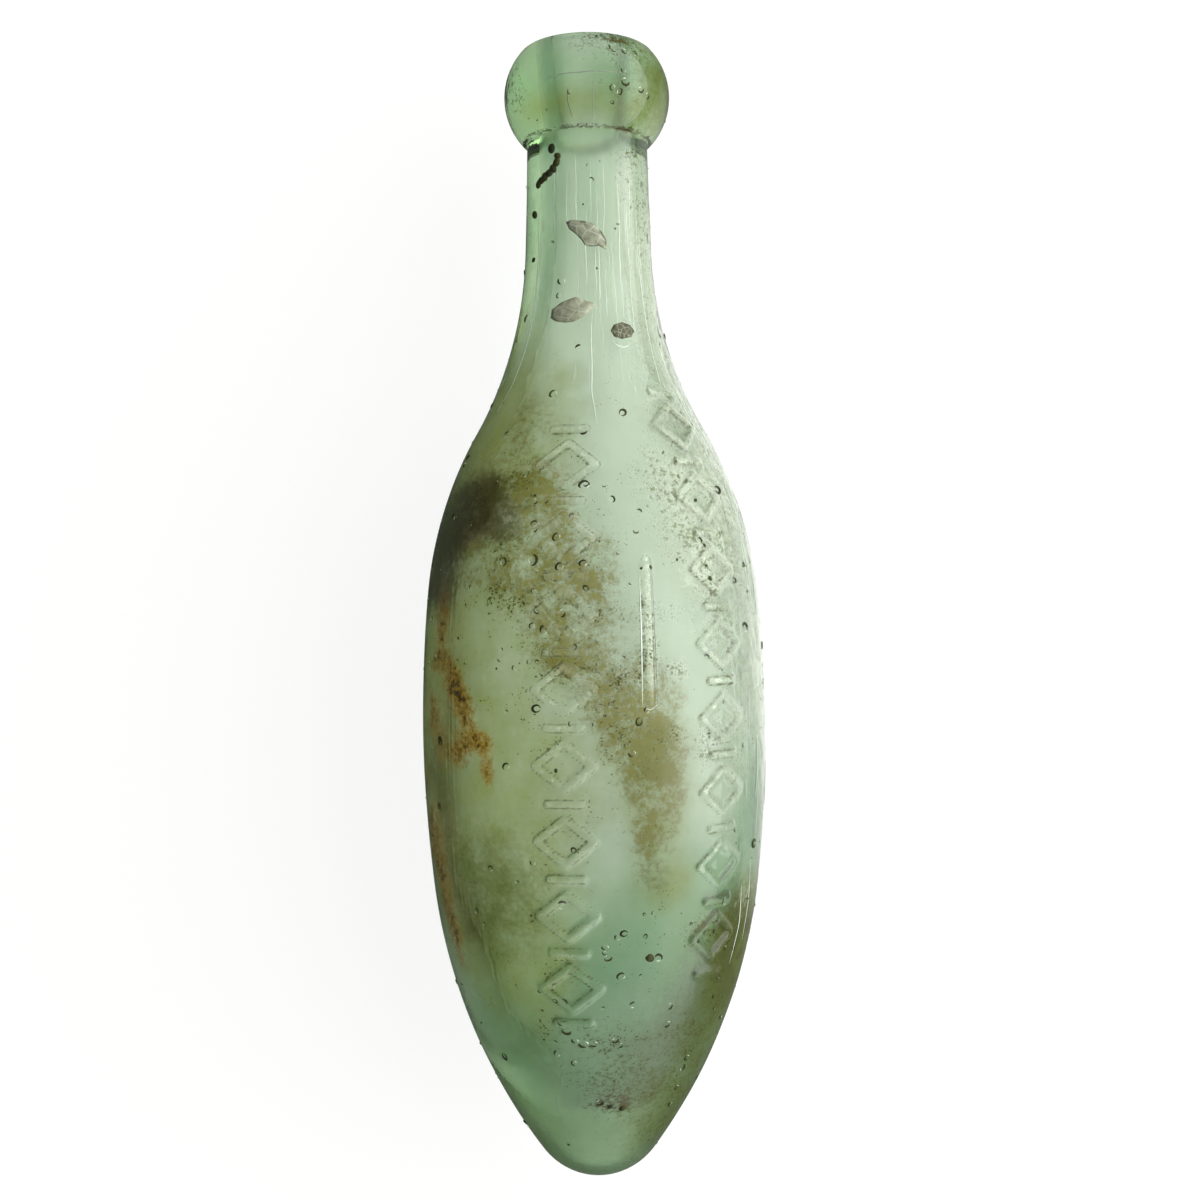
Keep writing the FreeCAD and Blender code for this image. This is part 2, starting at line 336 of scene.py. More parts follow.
@dataclass(frozen=True)
class MouldWork:
    """Plain raised work of the mould: a straight rib and two columns of lozenges and bars."""

    relief: float = 0.6
    rib_turn: float = 17.5
    rib_foot: float = 97.6
    rib_length: float = 28.0
    rib_width: float = 1.8
    columns: tuple[Span, ...] = ((-9.1, 38.0), (44.2, 46.0))
    lozenges: int = 8
    pitch: float = 14.0
    width: float = 12.4
    length: float = 10.0
    stroke: float = 1.6
    edge: float = 0.95

    def height(self, at: Places) -> np.ndarray:
        """Work out how far the mould work stands out at each place.

        Args:
            at: The places.

        Returns:
            Heights in millimetres.
        """
        foot = self.rib_foot + self.rib_width / 2
        head = self.rib_foot + self.rib_length - self.rib_width / 2
        across = (at.turn - math.radians(self.rib_turn)) * at.reach
        away = np.hypot(across, at.along - np.clip(at.along, foot, head))
        raised = self._rounded(away, self.rib_width / 2)
        for column_turn, column_foot in self.columns:
            across = np.abs((at.turn - math.radians(column_turn)) * at.reach)
            climb = at.along - column_foot
            number = np.clip(np.round(climb / self.pitch - 0.5), 0, self.lozenges - 1)
            rise = np.abs(climb - (number + 0.5) * self.pitch)
            raised = np.maximum(raised, self._lozenge(across, rise))
            rung = np.clip(np.round(climb / self.pitch), 0, self.lozenges)
            rung_rise = climb - rung * self.pitch
            beyond = across - np.clip(across, 0, self.width / 4)
            raised = np.maximum(raised, self._rounded(np.hypot(beyond, rung_rise), self.stroke / 2))
        return raised * self.relief

    def _lozenge(self, across: np.ndarray, rise: np.ndarray) -> np.ndarray:
        """Work out the share of the relief round one lozenge's outline.

        Args:
            across: Distances from the lozenge's middle line, to the side.
            rise: Distances from its middle, along the bottle.

        Returns:
            One on the stroke, nought beyond its edge.
        """
        half_width = self.width / 2 - self.stroke / 2
        half_length = self.length / 2 - self.stroke / 2
        side = math.hypot(half_width, half_length)
        share = ((half_width - across) * half_width + rise * half_length) / side**2
        share = np.clip(share, 0, 1)
        away = np.hypot(across - half_width * (1 - share), rise - half_length * share)
        return self._rounded(away, self.stroke / 2)

    def _rounded(self, away: np.ndarray, half_width: float) -> np.ndarray:
        """Return a soft-edged share: one on a stroke, nought beyond its edge."""
        share = np.clip((half_width + self.edge / 2 - away) / self.edge, 0, 1)
        return share * share * (3 - 2 * share)


@dataclass(frozen=True)
class Patch:
    """A soft oval of stain or dirt: turn in degrees, height and half sizes in millimetres."""

    turn: float
    along: float
    half_across: float
    half_along: float
    strength: float = 1.0
    tilt: float = 0.0

    def share(self, at: Places) -> np.ndarray:
        """Work out how much of the patch's strength there is at each place.

        Args:
            at: The places.

        Returns:
            Strengths, at most the patch's own, full in the middle and nought past the rim.
        """
        swing = (at.turn - math.radians(self.turn) + math.pi) % (2 * math.pi) - math.pi
        across = swing * at.reach
        rise = at.along - self.along
        cosine = math.cos(math.radians(self.tilt))
        sine = math.sin(math.radians(self.tilt))
        away = np.hypot(
            (across * cosine - rise * sine) / self.half_across,
            (across * sine + rise * cosine) / self.half_along,
        )
        return self.strength * np.clip(PATCH_RIM - away, 0, 1) ** PATCH_FALL


# Turn in degrees, height, half sizes across and along, strength and tilt in degrees of each patch
PATCH_ROWS = {
    Deposit.TINGE: (
        (-43, 36, 7, 24, 0.9, -12), (40, 62, 15, 18, 0.55), (0, 8, 44, 30, 0.5), (66, 32, 26, 30, 1),
        (-70, 34, 26, 34, 0.5), (8, 42, 34, 30, 0.85), (-88, 110, 10, 66, 0.9), (-76, 190, 13, 40, 0.8),
        (72, 78, 11, 18, 0.9), (-70, 220, 16, 13, 1), (70, 220, 18, 13, 1), (0, 220, 24, 14, 0.5),
        (150, 30, 30, 40, 0.7), (180, 205, 20, 20, 0.5),
    ),
    Deposit.FILM: (
        (-112, 100, 26, 54, 0.5), (-72, 96, 14, 48, 0.7), (-60, 64, 18, 20, 0.5), (66, 26, 18, 22, 0.35),
        (72, 46, 14, 16, 1), (66, 220, 9, 12, 0.6), (20, 90, 9, 13, 0.6), (-12, 58, 15, 15, 0.35),
        (-70, 165, 10, 22, 0.45), (120, 46, 22, 30, 0.8), (-53.4, 113.7, 27.5, 53.7, 0.8),
        (-39.4, 64.7, 17.5, 30.2, 0.95), (-50.3, 146.7, 21.7, 18.5, 0.8), (-8, 99.1, 22.3, 40.5, 0.52),
        (-15, 82, 15, 14, 0.45), (-48, 94, 13, 15, 0.5), (20.8, 71.1, 6.9, 13.9, 0.6),
        (27.5, 64.3, 6.2, 6, 0.55), (36.2, 80, 14.5, 9.4, 0.35), (68.2, 51.6, 18.6, 12.8, 0.85),
        (-12.9, 161, 4.3, 3.1, 0.25), (-24.5, 43.8, 12.2, 13.2, 0.4), (45.1, 14.8, 17.3, 9.9, 0.4),
        (-98.5, 134, 23.6, 12.4, 0.6), (0, 215, 22, 5, 0.7), (-50, 102, 14, 16, 0.35),
    ),
    Deposit.BROWN: (
        (-61.4, 130.8, 14.4, 9.7, 1, 25), (-42.6, 138.2, 13.4, 8.1, 0.95), (-28.5, 132.2, 11.5, 7.2, 0.8),
        (-39.8, 150.4, 9.9, 9.3, 0.45), (-16.9, 122.1, 11.6, 10.2, 0.8), (-3.6, 119.3, 9.2, 12, 0.52),
        (-0.5, 107.4, 9.2, 8.8, 0.55), (10.4, 98.7, 11.2, 9.6, 0.75), (19.3, 92, 8.1, 10.2, 1),
        (15.2, 86.9, 6.5, 6.3, 0.95), (24.5, 83.7, 5, 9, 0.95), (20.7, 72.5, 5, 10, 0.85),
        (-12, 110.1, 8.7, 7, 0.55), (-70, 121, 8.9, 9.4, 0.85), (74, 52, 11, 8, 1), (68, 43, 9, 9, 0.8),
        (66, 34, 8, 8, 0.5),
    ),
    Deposit.DARK: (
        (76, 46, 8, 9, 0.55), (-64, 129, 12, 11, 1, 20), (-50, 136, 9, 7, 0.75), (-74, 120, 7, 9, 0.7),
        (-30, 133, 8, 4, 0.5), (-42, 138, 10, 7, 0.5), (-36, 131, 7, 4, 0.5), (58, 56, 9, 5, 0.5),
        (66, 48, 7, 8, 0.6),
    ),
    Deposit.RUST: (
        (-60, 114, 1.8, 8, 0.8), (-64, 97, 2.5, 5, 0.8), (-58, 91, 4, 4, 0.6), (-64.5, 68, 4, 12, 0.85, -8),
        (-60.5, 54, 3.5, 10, 0.85, -10), (-72, 84, 3, 7, 0.5), (-49.5, 101.2, 3.3, 5, 1, -20),
        (-44, 96.2, 3.2, 4.6, 1, -20), (-42, 91.2, 4.2, 2.8, 1), (-47, 89, 3, 3, 1),
        (-37.2, 90.9, 3.2, 1.9, 0.95), (-35.2, 86.4, 1.8, 3.7, 0.85), (-56.7, 116, 2.2, 5.8, 0.7),
        (-61.6, 105.5, 5.2, 3.1, 0.55), (-61.7, 95, 3.1, 3.5, 0.65), (-52.2, 87.3, 7.4, 3.4, 0.4),
        (-72.6, 72.1, 4.9, 5.9, 0.85), (-53.8, 106, 2.9, 9.6, 0.4),
    ),
    Deposit.SPECKLE: (
        (28.5, 227, 11.3, 4.7, 1), (24.8, 217.9, 5.2, 3.5, 0.6), (57.3, 203.8, 6.7, 9.3, 1),
        (57.2, 185.5, 4.5, 14.1, 0.75), (44.3, 168, 5, 11.9, 0.55), (51.5, 152.9, 10.7, 6.7, 0.55),
        (27.4, 138.4, 6.4, 8.7, 0.85), (36.6, 128.9, 8.5, 6.8, 0.95), (65.5, 141.4, 18.2, 13.1, 0.65),
        (59.8, 124.3, 12.5, 12.9, 0.55), (57.5, 98.1, 9.4, 33, 0.5), (43.8, 115.2, 7.4, 10.7, 0.6),
        (27.2, 104.1, 2.9, 2.2, 0.95), (36.5, 88.9, 3.3, 4.5, 0.95), (44.7, 92.4, 4.8, 2.3, 0.75),
        (20.3, 115.5, 5.1, 2.8, 0.75), (18, 110.1, 2.1, 14.8, 0.5), (39.1, 55.1, 6.9, 2.7, 1),
        (71.4, 44.4, 19.4, 11.2, 0.9), (59.7, 30.2, 18.1, 9.1, 0.55), (7.5, 19.9, 5.5, 2.5, 1),
        (22.9, 22.5, 11.8, 7, 0.95), (8, 27, 8, 6, 0.8), (40, 26, 10, 14, 0.7), (18.9, 26.6, 4.9, 5, 0.5),
        (53, 13.1, 11.3, 4.8, 0.65), (-15.4, 122.1, 12.7, 12.3, 0.5), (2.7, 109.8, 8.5, 12.2, 0.6),
        (14.6, 95, 8.8, 10.3, 0.5), (-37.1, 136.6, 14.4, 9.6, 0.45), (-59.3, 219.8, 4.7, 6, 0.5),
        (-3.3, 35.1, 7.6, 4.2, 0.5),
    ),
    Deposit.GRIME: (
        (-90, 98, 12, 44, 0.3), (-74, 66, 13, 24, 0.2), (-38, 62, 18, 18, 0.55), (46, 34, 17, 15, 0.55),
        (40, 15, 14, 12, 0.45), (-78, 134, 16, 14, 0.75), (-92, 160, 12, 12, 0.4), (-70, 128, 10, 9, 0.5),
        (70, 47, 12, 11, 1.1), (70, 26, 14, 22, 0.5), (66, 220, 12, 12, 0.9), (150, 60, 26, 40, 0.4),
        (52, 48, 12, 12, 0.6), (24, 30, 22, 16, 0.3), (-38, 62, 12, 14, 0.3), (-62, 84, 8, 14, 0.6),
        (66, 52, 10, 12, 0.7), (-72, 190, 7, 26, 0.35),
    ),
    Deposit.FROST: (
        (5, 20, 18, 22, 1), (42, 28, 20, 22, 0.7), (-14, 42, 14, 14, 0.45), (-2, 226, 10, 5, 0.4),
        (165, 25, 26, 26, 0.8),
    ),
    # Pale weathering, mostly on the right, where it also stands as painted highlight
    Deposit.LIME_SHEEN: (
        (84, 92, 10, 44, 0.95), (66, 108, 5, 22, 0.6), (40, 126, 9, 9, 0.8), (30, 138, 6, 8, 0.7),
        (52, 138, 10, 16, 0.7), (74, 142, 9, 18, 0.7), (70, 165, 6, 20, 0.7), (74, 192, 4, 22, 0.6),
        (62, 60, 5, 9, 0.5), (135, 120, 20, 50, 0.4), (17.4, 111.5, 1.3, 13, 0.75),
    ),
    Deposit.GRAIN: (
        (-52, 99, 7, 12, 1), (-66, 60, 6, 16, 0.8), (-30, 125, 30, 34, 0.7), (8, 96, 18, 26, 0.85),
        (-20, 60, 34, 34, 0.45), (66, 48, 16, 14, 1.2), (52, 55, 11, 6, 1.2), (56, 24, 10, 18, 0.8),
        (30, 24, 12, 10, 0.7), (8, 32, 28, 26, 0.6), (9, 20, 7, 4, 1.2), (48, 52, 8, 8, 0.8),
        (7, 20, 6, 3, 1.4), (14, 26, 13, 9, 0.8), (48, 29, 11, 14, 0.75), (62, 202, 7, 12, 1.3),
        (72, 186, 5, 24, 0.8), (26, 227, 9, 4, 1.3), (0, 228.5, 9, 2.5, 0.6), (75, 220, 8, 10, 0.7),
        (50, 148, 15, 20, 0.65), (60, 110, 16, 40, 0.5), (150, 90, 30, 60, 0.6), (-140, 110, 24, 50, 0.5),
    ),
    Deposit.CRUST: (
        (7.5, 19.9, 5.5, 2.4, 1), (10, 21.5, 3.5, 2.4, 0.8), (0, 20.6, 2.4, 1.2, 1), (12, 24, 8, 5, 0.5),
        (33, 27, 5, 4, 0.5), (70, 52.5, 4, 2.2, 0.95), (66, 47, 4, 2.2, 0.85), (80, 45, 4, 6, 0.8),
        (68, 40, 2.5, 6, 0.75), (28, 227.6, 7, 1.8, 0.85), (14, 228.4, 5, 1, 0.7), (36, 224, 3, 2, 0.6),
        (64, 203, 4, 8, 0.8), (72, 194, 3, 7, 0.6), (28, 138, 3, 3.5, 0.85), (24, 142, 2, 3, 0.6),
        (39, 130, 6, 5, 0.55), (46, 123, 5, 4, 0.5), (36.5, 89, 3, 4, 0.5), (20.5, 115, 5, 2.5, 0.55),
        (0, 229.6, 40, 0.8, 0.45), (0, 211.3, 50, 0.5, 0.75), (-80, 211.3, 12, 0.6, 0.35),
        (50, 211.3, 14, 0.5, 0.7),
    ),
}
PATCHES = {deposit: tuple(Patch(*row) for row in rows) for deposit, rows in PATCH_ROWS.items()}


class Shade:
    """Helper that adds nodes to a node tree from left to right."""

    def __init__(self, tree: bpy.types.NodeTree) -> None:
        """Keep the tree and clear it."""
        self.tree = tree
        tree.nodes.clear()

    def node(self, kind: str, values: dict | None = None, **settings: object) -> bpy.types.Node:
        """Add a node, set its properties and fill its inputs.

        Args:
            kind: The node's type.
            values: Inputs by name or number; a socket is linked, anything else is a value.
            **settings: The node's own properties.

        Returns:
            The new node.
        """
        node = self.tree.nodes.new(kind)
        for name, value in settings.items():
            setattr(node, name, value)
        for name, value in (values or {}).items():
            if isinstance(value, Socket):
                self.tree.links.new(value, node.inputs[name])
            else:
                node.inputs[name].default_value = value
        return node

    def math(self, operation: str, *values: object) -> Socket:
        """Add a Math node and return its result."""
        return self.node("ShaderNodeMath", dict(enumerate(values)), operation=operation).outputs[0]

    def mix(self, share: object, first: object, second: object) -> Socket:
        """Mix two colours by a share and return the result."""
        node = self.node("ShaderNodeMix", {0: share, 6: first, 7: second}, data_type="RGBA")
        return node.outputs[2]

    def blend(self, share: object, first: object, second: object) -> Socket:
        """Mix two numbers by a share and return the result."""
        node = self.node("ShaderNodeMix", {0: share, 2: first, 3: second}, data_type="FLOAT")
        return node.outputs[0]

    def ramp(self, value: object, low: float, high: float) -> Socket:
        """Turn a value smoothly from nought at low to one at high and return the result."""
        node = self.node("ShaderNodeMapRange", {0: value, 1: low, 2: high}, interpolation_type="SMOOTHSTEP")
        return node.outputs[0]

    def noise(self, place: object, size: float, detail: float, roughness: float = 0.6) -> Socket:
        """Add a noise whose features measure about this many millimetres and return its value."""
        node = self.node(
            "ShaderNodeTexNoise",
            {"Vector": place, "Scale": 1 / (size * MM), "Detail": detail, "Roughness": roughness},
        )
        return node.outputs[0]

    def attribute(self, name: str) -> Socket:
        """Read a number kept on the mesh and return it."""
        return self.node("ShaderNodeAttribute", attribute_name=name).outputs["Fac"]


def new_material(name: str) -> tuple[bpy.types.Material, Shade]:
    """Make a material without nodes.

    Args:
        name: What it is called.

    Returns:
        The material and the helper that adds its nodes.
    """
    material = bpy.data.materials.new(name)
    material.use_nodes = True
    return material, Shade(material.node_tree)


@dataclass(frozen=True)
class DepositLook:
    """Colour, opacity and grain of one kind of stain, on one wall.

    Fullness is how far the middle of a patch is above the level where the stain starts, and
    gain is how much lower its rim is.
    """

    deposit: Deposit
    wall: Wall
    colour: Triple
    tinting: float
    cover: float
    gain: float
    fullness: float
    coarse: float
    fine: float
    grain: float
    softness: float


# Each stain's wall, colour, tinting, cover, gain, fullness, three sizes of grain and softness,
# from the lowest layer to the uppermost
DEPOSIT_LOOKS = (
    DepositLook(Deposit.TINGE, Wall.OUTER, (0.235, 0.50, 0.30), 0.97, 0.05, 0.8, 0.50, 0.5, 0.0, 0.0, 0.80),
    DepositLook(Deposit.FROST, Wall.OUTER, (0.30, 0.41, 0.27), 0.60, 0.24, 1.1, 0.60, 0.7, 0.1, 0.2, 0.60),
    DepositLook(Deposit.FILM, Wall.OUTER, (0.31, 0.335, 0.045), 0.97, 0.08, 1.0, 0.50, 0.9, 0.2, 0.0, 0.70),
    DepositLook(Deposit.BROWN, Wall.INNER, (0.30, 0.212, 0.010), 0.97, 0.25, 1.0, 0.38, 2.2, 1.6, 0.6, 0.48),
    DepositLook(Deposit.DARK, Wall.OUTER, (0.050, 0.036, 0.003), 0.98, 0.82, 1.0, 0.45, 1.2, 0.6, 0.1, 0.50),
    DepositLook(Deposit.GRIME, Wall.OUTER, (0.095, 0.120, 0.018), 0.97, 0.40, 1.0, 0.50, 0.9, 0.6, 0.2, 0.60),
    DepositLook(Deposit.RUST, Wall.OUTER, (0.55, 0.235, 0.008), 0.98, 0.48, 1.0, 0.50, 1.3, 1.2, 0.5, 0.46),
    DepositLook(Deposit.RUST, Wall.OUTER, (0.075, 0.027, 0.002), 0.98, 0.70, 1.0, 0.06, 1.3, 1.9, 0.8, 0.25),
    # Pale weathering and painted highlight
    DepositLook(Deposit.LIME_SHEEN, Wall.OUTER, (0.92, 0.99, 0.80), 0.80, 0.32, 1.0, 0.35, 1.0, 1.4, 0.6, 0.35),
    DepositLook(Deposit.SPECKLE, Wall.OUTER, (0.105, 0.14, 0.03), 0.93, 0.52, 0.6, 0.02, 0.9, 1.8, 1.2, 0.32),
    DepositLook(Deposit.GRAIN, Wall.OUTER, (0.045, 0.038, 0.005), 0.98, 0.90, 0.4, -0.40, 1.5, 0.7, 2, 0.10),
    # Both edges of each stroke of the raised work: dirt and painted shade
    DepositLook(Deposit.CREASE_DIRT_SHADE, Wall.OUTER, (0.11, 0.11, 0.04), 0.92, 0.30, 0.9, 0.16, 1.2, 1.4, 0.4, 0.35),
    DepositLook(Deposit.CRUST, Wall.OUTER, (0.062, 0.060, 0.010), 1.0, 0.88, 1.2, 0.20, 1.2, 1.1, 0.4, 0.22),
)


@dataclass(frozen=True)
class WeatheredGlass:
    """Pale green glass with an etched haze inside, under stains and dirt."""

    tint: Triple = (0.93, 0.99, 0.945)
    absorbed: Triple = (0.745, 0.81, 0.65)
    density: float = 100.0
    film_spread: Span = (1.2, 0.4)
    index: float = 1.5
    film_colour: Triple = (0.60, 0.70, 0.56)
    inner_film: float = 0.24
    outer_film: float = 0.015
    inner_roughness: float = 0.32
    outer_roughness: float = 0.03
    coarse_size: float = 7.0
    fine_size: float = 1.1
    grain_size: float = 0.42
    frost_roughness: float = 0.30
    dirt_roughness: float = 0.12
    streak_scale: Triple = (1.0, 0.05, 1.0)
    streak_depth: float = 0.00006

    def build(self) -> bpy.types.Material:
        """Make the material.

        Returns:
            The material, with its glass, stains and bump.
        """
        material, shade = new_material("weathered_glass")
        place = shade.node("ShaderNodeTexCoord").outputs["Object"]
        inside = shade.attribute("inside")
        coarse = shade.noise(place, self.coarse_size, 3, 0.62)
        fine = shade.noise(place, self.fine_size, 2, 0.6)
        grain = shade.noise(place, self.grain_size, 1, 0.5)

        film = shade.blend(inside, self.outer_film, self.inner_film)
        cover = shade.math("MULTIPLY", film, shade.math("MULTIPLY_ADD", coarse, *self.film_spread))
        colour = shade.mix(cover, (*self.tint, 1), (*self.film_colour, 1))
        for look in DEPOSIT_LOOKS:
            share = self._share(shade, look, (coarse, fine, grain))
            colour = shade.mix(shade.math("MULTIPLY", share, look.tinting), colour, (*look.colour, 1))
            cover = shade.math("MAXIMUM", cover, shade.math("MULTIPLY", share, look.cover))

        streaks = shade.node("ShaderNodeMapping", {"Vector": place, "Scale": self.streak_scale}).outputs[0]
        height = shade.noise(streaks, self.fine_size, 0)
        frost, grime, dark = (
            shade.attribute(deposit.value) for deposit in (Deposit.FROST, Deposit.GRIME, Deposit.DARK)
        )
        frosted = shade.math("MULTIPLY_ADD", frost, self.frost_roughness, self.outer_roughness)
        dirt = shade.math("MAXIMUM", grime, dark)
        polish = shade.math("MULTIPLY_ADD", dirt, self.dirt_roughness, frosted)
        bump = shade.node(
            "ShaderNodeBump",
            {"Height": height, "Strength": 0.5, "Distance": self.streak_depth},
        )
        glass = shade.node(
            "ShaderNodeBsdfPrincipled",
            {
                "Base Color": colour,
                "IOR": self.index,
                "Transmission Weight": shade.math("SUBTRACT", 1.0, cover),
                "Roughness": shade.blend(inside, polish, self.inner_roughness),
                "Normal": bump.outputs[0],
            },
        )
        depth = shade.node(
            "ShaderNodeVolumeAbsorption",
            {"Color": (*self.absorbed, 1), "Density": self.density},
        )
        shade.node("ShaderNodeOutputMaterial", {"Surface": glass.outputs[0], "Volume": depth.outputs[0]})
        return material

    def _share(self, shade: Shade, look: DepositLook, noises: tuple) -> Socket:
        """Break a stain's soft patches up with the noises.

        Args:
            shade: The material's helper.
            look: The stain's look.
            noises: The coarse, the fine and the finest noise.

        Returns:
            The share of the surface that the stain covers.
        """
        mask = shade.attribute(look.deposit.value)
        weights = (look.coarse, look.fine, look.grain)
        level = shade.math("MULTIPLY_ADD", mask, look.gain, look.fullness - look.gain - sum(weights) / 2)
        for noise, weight in zip(noises, weights):
            if weight:
                level = shade.math("MULTIPLY_ADD", noise, weight, level)
        within = shade.ramp(mask, 0.0, look.softness)
        return shade.math("MULTIPLY", shade.ramp(level, -look.softness, look.softness), within)


@dataclass
class BlownBottle:
    """The one piece of glass: its outside with the mould work and lip, its bore and its cavity."""

    outside: Bulb = Bulb(
        tip_height=0.0, tip_radius=14.7, half_width=35.1, belly_height=92.1, belly_radius=269.0,
        belly_drop=30.7, belly_rise=28.3, foot=(13.0, 189.2), top=(12.405, 211.2),
    )
    cavity: Bulb = Bulb(
        tip_height=16.0, tip_radius=12.0, half_width=30.5, belly_height=92.1, belly_radius=264.4,
        belly_drop=25.0, belly_rise=20.0, foot=(6.6, 195.0), top=(6.6, 228.4),
    )
    lip: Lip = Lip()
    mould_work: MouldWork = MouldWork()
    outer_waves: Waves = Waves(depth=0.06, longest=70.0, shortest=12.0, count=24, seed=5)
    inner_waves: Waves = Waves(depth=0.22, longest=60.0, shortest=14.0, count=24, seed=11)
    rough_skin: Waves = Waves(depth=0.11, longest=4.5, shortest=1.5, count=60, seed=7)
    cavity_shift: float = 0.8
    cavity_calm: Span = (207.0, 222.0)
    sample: float = 0.05
    rough_sample: float = 0.5
    softening: float = 0.30
    fine_spacing: float = 0.5
    outer_spacing: float = 1.1
    inner_spacing: float = 2.0
    closest_spacing: float = 0.12
    bend_step: float = 0.3
    relief_span: Span = (33.0, 160.0)
    relief_reach: float = 20.0
    limb_turn: float = 68.0
    half_spans: tuple[float, ...] = (2.5, 12.5, 12.5, 5.0)
    fine_turn: float = 0.62
    coarse_turn: float = 1.4
    widest_turn: float = 5.0
    turn_growth: float = 0.08
    turn_lead: float = 0.3
    # Pale tops of the mould work, from wear and as painted highlight: share by height, more on the right
    worn_sheen_heights: Span = (40.0, 100.0)
    worn_sheen_shares: Span = (0.3, 0.56)
    worn_sheen_right: float = 1.08

    def build(self) -> bpy.types.Object:
        """Make the glass and dress it.

        Returns:
            The finished piece.
        """
        places, inside = self._rings()
        turns = self._turns()
        piece = self._mesh(places, inside, turns)
        piece.data.materials.append(WeatheredGlass().build())
        return piece

    def reach_at(self, along: np.ndarray) -> np.ndarray:
        """Find how far out the outer wall is.

        Args:
            along: Heights above the tip.

        Returns:
            The wall's reach from the axis at each height.
        """
        outer = self.outside.outline(self.rough_sample)
        side = self.lip.outline(outer[-1, 0], self.rough_sample)
        side = side[side[:, 0] > self.lip.bore_radius + 2 * self.lip.mouth_radius]
        chain = np.concatenate([outer, side])
        order = np.argsort(chain[:, 1], kind="stable")
        return np.interp(along, chain[order, 1], chain[order, 0])

    def _rings(self) -> tuple[np.ndarray, np.ndarray]:
        """Trace the whole section and choose its rings.

        Returns:
            One row for each ring, as reach, height, and the way out of the glass; and how far
            inside each ring is, from nought on the outer wall to one on the inner wall.
        """
        outer = self.outside.outline(self.sample)
        over = self.lip.outline(outer[-1, 0], self.sample)
        inner = self.cavity.outline(self.sample)[::-1]
        chain = np.concatenate([outer, over[1:], inner[1:]])
        walk = np.concatenate([[0], np.cumsum(np.hypot(*np.diff(chain, axis=0).T))])
        even = np.arange(0, walk[-1], self.sample)
        even = np.append(even, walk[-1])
        chain = np.stack([np.interp(even, walk, chain[:, 0]), np.interp(even, walk, chain[:, 1])], axis=1)
        turn_over = walk[len(outer) + len(over) - 2]
        inside = np.clip((even - turn_over) / 1.0 + 1.0, 0, 1)

        reach = int(self.softening / self.sample)
        kernel = np.hanning(2 * reach + 3)[1:-1]
        kernel /= kernel.sum()
        mirror = np.array([-1.0, 1.0])
        before = chain[1:reach + 1][::-1] * mirror
        beyond = chain[-reach - 1:-1][::-1] * mirror
        padded = np.concatenate([before, chain, beyond])
        soft = np.stack([np.convolve(padded[:, axis], kernel, "valid") for axis in (0, 1)], axis=1)
        soft[0, 0] = 0.0
        soft[-1, 0] = 0.0

        way = np.gradient(soft, self.sample, axis=0)
        way /= np.hypot(*way.T)[:, None]
        bend = np.hypot(*np.gradient(way, self.sample, axis=0).T)
        out = np.stack([way[:, 1], -way[:, 0]], axis=1)
        low, high = self.relief_span
        carved = (inside < 0.5) & (soft[:, 1] > low) & (soft[:, 1] < high) & (soft[:, 0] > self.relief_reach)
        widest = np.where(carved, self.fine_spacing, self.outer_spacing)
        widest = np.where(inside > 0.5, self.inner_spacing, widest)
        spacing = np.clip(self.bend_step / np.maximum(bend, 1e-6), self.closest_spacing, widest)
        count = np.concatenate([[0], np.cumsum(self.sample / spacing[:-1])])
        number = np.arange(len(count))
        stations = np.interp(np.linspace(0, count[-1], int(round(count[-1])) + 1), count, number)
        *rows, within = (np.interp(stations, number, column) for column in (*soft.T, *out.T, inside))
        LOG.info("section: %d rings", len(within))
        return np.stack(rows, axis=1), within

    def _turns(self) -> np.ndarray:
        """Choose the turns of the lengthwise lines, close together on the mould work and the right limb.

        Returns:
            Angles from the upper side, in radians, in rising order.
        """
        columns = (turn for turn, _ in self.mould_work.columns)
        spans = list(zip((self.mould_work.rib_turn, *columns, self.limb_turn), self.half_spans))
        turns = [-180.0]
        while turns[-1] < 180.0:
            away = min(abs(turns[-1] + self.turn_lead - middle) - half for middle, half in spans)
            wide = min(self.widest_turn, self.coarse_turn + away * self.turn_growth)
            turns.append(turns[-1] + (self.fine_turn if away < 0 else wide))
        turns = np.array(turns[:-1])
        LOG.info("round: %d lines", len(turns))
        return np.radians(turns)

    def _mesh(self, places: np.ndarray, inside: np.ndarray, turns: np.ndarray) -> bpy.types.Object:
        """Make the surface of revolution, displace it and keep the stains on it.

        Args:
            places: One row for each ring, from the tip to the cavity's lower end.
            inside: How far inside each ring is.
            turns: The turns of the lengthwise lines.

        Returns:
            The new object, at the origin.
        """
        rings = places[1:-1]
        turn = np.tile(turns, len(rings))
        reach, along, out_reach, out_along = (np.repeat(column, len(turns)) for column in rings.T)
        within = np.repeat(inside[1:-1], len(turns))
        at = Places(turn, along, reach)
        raised = self.mould_work.height(at) * (within < 0.5)
        outer_wave = self.outer_waves.height(at)
        inner_wave = self.inner_waves.height(at)
        rough = np.zeros_like(turn)
        for patch in PATCHES[Deposit.LIME_SHEEN]:
            rough = np.maximum(rough, np.clip(patch.share(at), 0, 1))
        rough *= self.rough_skin.height(at) * (within < 0.5)
        low, high = self.cavity_calm
        calm = np.clip((high - along) / (high - low), 0, 1)
        lift = raised + rough + outer_wave * (1 - within) + inner_wave * within * calm

        ends = places[[0, -1], 1]
        turn, raised = (np.append(values, [0, 0]) for values in (turn, raised))
        within = np.append(within, [0, 1])
        moved_along = np.append(along + out_along * lift, ends)
        moved_reach = np.append(reach + out_reach * lift, [0, 0])
        points = Places(turn, moved_along, moved_reach).points()
        points[:, 2] += within * self.cavity_shift
        at = Places(turn, np.append(along, ends), np.append(reach, [0, 0]))
        faces = self._faces(len(rings), len(turns))
        return add_piece("bottle_glass", points, faces, self._numbers(at, within, raised))

